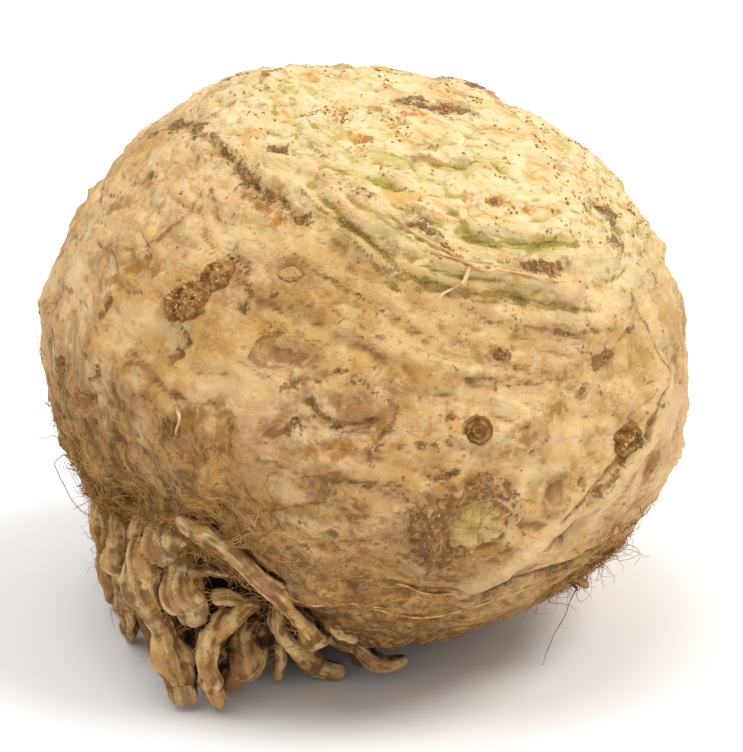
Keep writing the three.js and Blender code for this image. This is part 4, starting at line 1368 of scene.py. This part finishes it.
def grow_on_skin(skin, paints):
    """Hair, felt, flakes and crumbs on the bulb, each with its finish."""
    directions = directions_of(skin)
    hair, flake = hair_tree(), flake_tree()

    def grow(name, tree, paint, slot, **values):
        belongs(grown(name, tree, skin, paints[paint], **values), paints[paint], slot)

    set_layer(skin, "hairy", grown_over(directions, HAIR_ZONES, SEED + 90))
    grow("root_hair_mat", hair, "hair", "root_hair", Per_Square_Metre=1.7e6, Length=0.0075,
         Thickness=0.0002, Curl=0.008, Cling=0.82, Lift=0.0004, Seed=3)
    grow("root_hair_tufts", hair, "dark_hair", "root_hair", Per_Square_Metre=2.2e5, Length=0.005,
         Thickness=0.00014, Curl=0.006, Cling=0.3, Lift=0.0003, Seed=8)
    set_layer(skin, "hairy", grown_over(directions, FELT_ZONES, SEED + 92))
    grow("felt_light", hair, "light_felt", "root_hair", Per_Square_Metre=1.3e6, Length=0.007,
         Thickness=0.0002, Curl=0.005, Cling=0.97, Lift=0.0001, Seed=13)
    grow("felt_dark", hair, "hair", "root_hair", Per_Square_Metre=0.7e6, Length=0.006,
         Thickness=0.00018, Curl=0.005, Cling=0.95, Lift=0.00015, Seed=17)
    crown = step(np.degrees(np.arccos(np.clip(directions @ toward(*CROWN), -1, 1))), 75, 25)
    patchy = step(layered(directions * SKIN_RADIUS, 6, SEED + 95), 0.0, 0.7)
    set_layer(skin, "flaky", (0.03 + crown ** 1.5) * patchy * step(directions[:, 2], -0.5, -0.1))
    grow("skin_flakes", flake, "flake", "cork", Per_Square_Metre=0.45e4, Size=0.0003,
         Crumple=0.0007, Flatness=0.35, Seed=5)
    set_layer(skin, "flaky", np.clip(layer_of(skin, "cork") * 1.3 - 0.25, 0, 1) ** 1.3)
    grow("cork_crumbs", flake, "crumb", "cork", Per_Square_Metre=1.8e6, Size=0.00034,
         Crumple=0.0005, Flatness=0.6, Seed=6)


def grow_on_roots(roots, paints):
    """Curly hair between and over the roots."""
    parts = []
    for root in roots:
        points = [tuple(v.co) for v in root.data.vertices]
        parts.append((np.array(points), [tuple(p.vertices) for p in root.data.polygons], {}))
    ground = joined("root_hair_ground", parts)
    points = np.vstack([p for p, _, _ in parts]) / MM
    set_layer(ground, "hairy", step(points[:, 2], 6, 26) * step(layered(points, 9, SEED + 97), -0.5, 0.5))
    hair = bpy.data.node_groups["root_hair"]
    fuzz = grown("side_root_fuzz", hair, ground, paints["hair"], Per_Square_Metre=3.2e5, Length=0.0065,
                 Thickness=0.00014, Curl=0.007, Cling=0.6, Lift=0.0003, Seed=21)
    bpy.data.objects.remove(ground)
    return fuzz


# ---- Threads: thin rootlets that lie on the skin or curl away from it ------------------------------------

# Name, thickness in mm at the start and at the end, and the places it runs through with its lift in mm.
THREADS = [
    ("rootlet_front", 0.8, 0.35,
     [(21, 34, 0.2), (20, 32, 0.8), (18, 31, 0.5), (15, 30, 0.3), (12, 27, 0.2)]),
    ("rootlet_ridge", 0.6, 0.3,
     [(16, 37, 0.2), (20, 35, 0.5), (24, 33, 0.3), (30, 32, 0.5), (38, 29, 0.3), (46, 27, 0.1)]),
    ("rootlet_above", 0.5, 0.25,
     [(20, 35, 0.2), (17, 38, 0.5), (12, 41, 0.4), (6, 45, 0.1)]),
    ("rootlet_left", 0.7, 0.4,
     [(-33, 9, 0.1), (-32, 7, 0.8), (-33, 4, 0.3)]),
    ("rootlet_low_left", 0.6, 0.3,
     [(-22, -22, 0.0), (-12, -27, 0.2), (-2, -28, 0.1), (8, -31, 0.0)]),
    ("rootlet_low_right", 0.6, 0.3,
     [(2, -30, 0.0), (12, -33, 0.2), (24, -30, 0.2), (36, -28, 0.0)]),
    ("rootlet_low_cross", 0.5, 0.3,
     [(6, -22, 0.0), (14, -26, 0.4), (24, -24, 0.1)]),
    ("hair_loop_left", 0.22, 0.12,
     [(-76, -14, 0), (-82, -16, 5), (-88, -20, 9), (-88, -28, 9), (-84, -33, 5), (-80, -36, 3)]),
    ("hair_left_upper", 0.2, 0.1,
     [(-74, -10, 0), (-80, -11, 3), (-86, -13, 7)]),
    ("hair_left_cross", 0.2, 0.1,
     [(-82, -27, 2), (-85, -27, 6), (-88, -28, 10)]),
    ("hair_right_long", 0.22, 0.1,
     [(64, -38, 0), (60, -44, 5), (57, -50, 10), (56, -54, 15)]),
]


# Tufts of curly hair: name, place, spread, how many hairs, their length and thickness in mm.
TUFTS = [
    ("tuft_right", (63, -31), 0.07, 40, 11, 0.16), ("tuft_right_low", (56, -36), 0.06, 22, 9, 0.16),
    ("tuft_right_stub", (57, -37), 0.012, 3, 6, 0.8), ("tuft_left", (-82, -24), 0.12, 26, 9, 0.13),
    ("tuft_above_roots", (-46, -19), 0.14, 80, 9, 0.19),
    ("tuft_between_roots", (-50, -33), 0.14, 44, 11, 0.16),
    ("tuft_back", (170, -42), 0.34, 120, 12, 0.17),
    ("tuft_back_left", (-130, -35), 0.28, 120, 12, 0.17),
]


def curly_tuft(name, place, spread, count, reach, thick, seed, tree):
    """A tuft of curly hairs that spring from round a place. Reach and thickness are in mm."""
    draw = np.random.default_rng(seed)
    parts = []
    for _ in range(count):
        start = unit(toward(*place) + draw.normal(0, spread, 3))
        path = [(BULB_MIDDLE + start * cast(tree, start[None])[0]) / MM - start * 0.5]
        heading = unit(start + draw.normal(0, 0.6, 3))
        swing = unit(draw.normal(0, 1, 3)) * draw.uniform(0.15, 0.5)
        for _ in range(int(draw.uniform(0.5, 1.0) * reach / 0.8)):
            heading = unit(heading + np.cross(swing, heading) + draw.normal(0, 0.16, 3))
            path.append(path[-1] + heading * 0.8)
        path = smooth_path(path, 3)
        path[:, 2] = np.maximum(path[:, 2], 0.3)
        points, faces = tube(path, np.linspace(thick, thick * 0.4, len(path)) / 2, 5)
        parts.append((points * MM, faces, {}))
    return joined(name, parts)


def thread(name, places, thick, thin, tree):
    """A thin rootlet through places on the skin, each lifted off it."""
    directions = unit(np.array([toward(a, e) for a, e, _ in places]))
    distance = cast(tree, directions) + np.array([lift for _, _, lift in places]) * MM
    path = smooth_path(BULB_MIDDLE + directions * distance[:, None], 8) / MM
    path += np.stack([noise(path, 3.0, 400 + k) for k in range(3)], axis=1) * 0.3
    path[:, 2] = np.maximum(path[:, 2], 0.3)
    share = np.linspace(0, 1, len(path))
    radius = (thick + (thin - thick) * share) / 2 * (1 + 0.25 * noise(path, 1.2, 410))
    radius[-1] *= 0.3
    points, faces = tube(path, radius, 7)
    return mesh_piece(name, points * MM, faces)


# ---- Camera, floor and light -----------------------------------------------------------------------------

LENS = 110.0
SENSOR = 36.0
LOOK_DOWN = 20.0
FIELD = 0.1516  # metres that the picture's long side spans at the bulb's middle
LOOK_RIGHT = 0.0013
LOOK_LOW = 0.0032


def make_camera():
    e = math.radians(LOOK_DOWN)
    back = Vector((0, -math.cos(e), math.sin(e)))
    up = Vector((0, math.sin(e), math.cos(e)))
    aim = Vector(BULB_MIDDLE) + Vector((LOOK_RIGHT, 0, 0)) - up * LOOK_LOW
    lens = bpy.data.cameras.new("camera")
    lens.lens, lens.sensor_width = LENS, SENSOR
    lens.clip_start, lens.clip_end = 0.01, 50
    camera = bpy.data.objects.new("camera", lens)
    camera.location = aim + back * (LENS / SENSOR * FIELD)
    camera.rotation_euler = (-back).to_track_quat("-Z", "Y").to_euler()
    bpy.context.scene.collection.objects.link(camera)
    bpy.context.scene.camera = camera


def make_floor():
    size = 6.0
    corners = [(-size, -size, 0), (size, -size, 0), (size, size, 0), (-size, size, 0)]
    mesh = bpy.data.meshes.new("floor")
    mesh.from_pydata(corners, [], [(0, 1, 2, 3)])
    floor = bpy.data.objects.new("floor", mesh)
    paint = bpy.data.materials.new("floor_white")
    paint.use_nodes = True
    paint.node_tree.nodes["Principled BSDF"].inputs["Base Color"].default_value = (0.92, 0.92, 0.92, 1)
    paint.node_tree.nodes["Principled BSDF"].inputs["Roughness"].default_value = 0.9
    mesh.materials.append(paint)
    bpy.context.scene.collection.objects.link(floor)


def soft_light(name, azimuth, elevation, strength, softness, tint):
    """A far, wide studio lamp: the place it shines from, and how many degrees wide it looks."""
    lamp = bpy.data.lights.new(name, "SUN")
    lamp.energy, lamp.angle, lamp.color = strength, math.radians(softness), tint
    light = bpy.data.objects.new(name, lamp)
    light.rotation_euler = Vector(toward(azimuth, elevation)).to_track_quat("Z", "Y").to_euler()
    bpy.context.scene.collection.objects.link(light)


def make_light():
    world = bpy.data.worlds.new("studio")
    world.use_nodes = True
    world.node_tree.nodes["Background"].inputs["Color"].default_value = (1.0, 1.0, 1.0, 1)
    world.node_tree.nodes["Background"].inputs["Strength"].default_value = 0.66
    bpy.context.scene.world = world
    soft_light("key_light", 74, 58, 1.55, 22, (1.0, 0.98, 0.95))
    soft_light("top_light", -55, 74, 1.2, 36, (1.0, 0.99, 0.97))
    bpy.context.scene.view_settings.view_transform = "Standard"


# ---- Putting it together ---------------------------------------------------------------------------------

def make_celeriac():
    """The bulb, what grows on it, its side roots and their hair, each with its finish."""
    skin = bulb_skin()
    tree = surface_tree(skin)
    paints = {
        "hair": plain_finish("root_hair", colour(0x865A27), colour(0xC89A58), 0.75),
        "dark_hair": plain_finish("dry_root_hair", colour(0x66421F), colour(0xA07A48), 0.75),
        "light_felt": plain_finish("root_felt", colour(0xAE7F42), colour(0xDBAF70), 0.75),
        "flake": plain_finish("skin_flake", colour(0xA0753F), colour(0xDDB67C), 0.8, 2.0),
        "crumb": plain_finish("cork_crumb", colour(0x96662F), colour(0xD6AA6C), 0.85, 1.1),
        "thread": plain_finish("rootlet_skin", colour(0xC0935A), colour(0xE0BE8C), 0.65),
    }
    grow_on_skin(skin, paints)
    belongs(skin, bulb_finish(), "bulb_skin", "bulb")
    knobs = cork_knobs(tree)
    crumbs = grown("knob_crumbs", bpy.data.node_groups["skin_flake"], knobs, paints["crumb"],
                   Per_Square_Metre=1.4e6, Size=0.00028, Crumple=0.0005, Flatness=0.6, Seed=9)
    belongs(crumbs, paints["crumb"], "cork")
    belongs(knobs, cork_finish(), "cork")
    belongs(cut_face(tree), cut_finish(), "bulb_skin")
    root_paint = root_finish("side_root_skin", colour(0xCB9B57), colour(0xE6C288), 0.0)
    # The fine roots behind the side roots: darker colours and painted shade all over stand in for the shade
    # they lie in.
    shaded_paint = root_finish("shaded_fine_root_skin", colour(0x8A6236), colour(0xA87E48), 0.35)
    roots = []
    for seed, node in enumerate(sorted(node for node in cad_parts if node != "bulb")):
        roots.append(belongs(side_root(node, seed), root_paint, "root_skin", node))
    tangles = [
        tangle("fine_root_tangle", tree, (-60, -50), 38, 48, -33, 22, 2),
        tangle("fine_root_tangle_left", tree, (-102, -36), 30, 30, -16, 40, -16),
        tangle("fine_root_tangle_back", tree, (-160, -46), 46, 40, 10, 60, 24),
    ]
    roots += [belongs(piece, shaded_paint, "root_skin") for piece in tangles]
    # Layer for the painted shade in the gaps between the roots and the bulb.
    mark_gap_shade([skin, *roots])
    belongs(grow_on_roots(roots, paints), paints["hair"], "root_hair")
    for name, thick, thin, places in THREADS:
        paint = paints["dark_hair" if "hair" in name else "light_felt" if "low" in name else "thread"]
        belongs(thread(name, places, thick, thin, tree), paint, "root_hair")
    for name, *shape in TUFTS:
        tuft = curly_tuft(name, *shape, len(name), tree)
        belongs(tuft, paints["dark_hair"], "root_hair")


make_camera()
make_floor()
make_light()
make_celeriac()
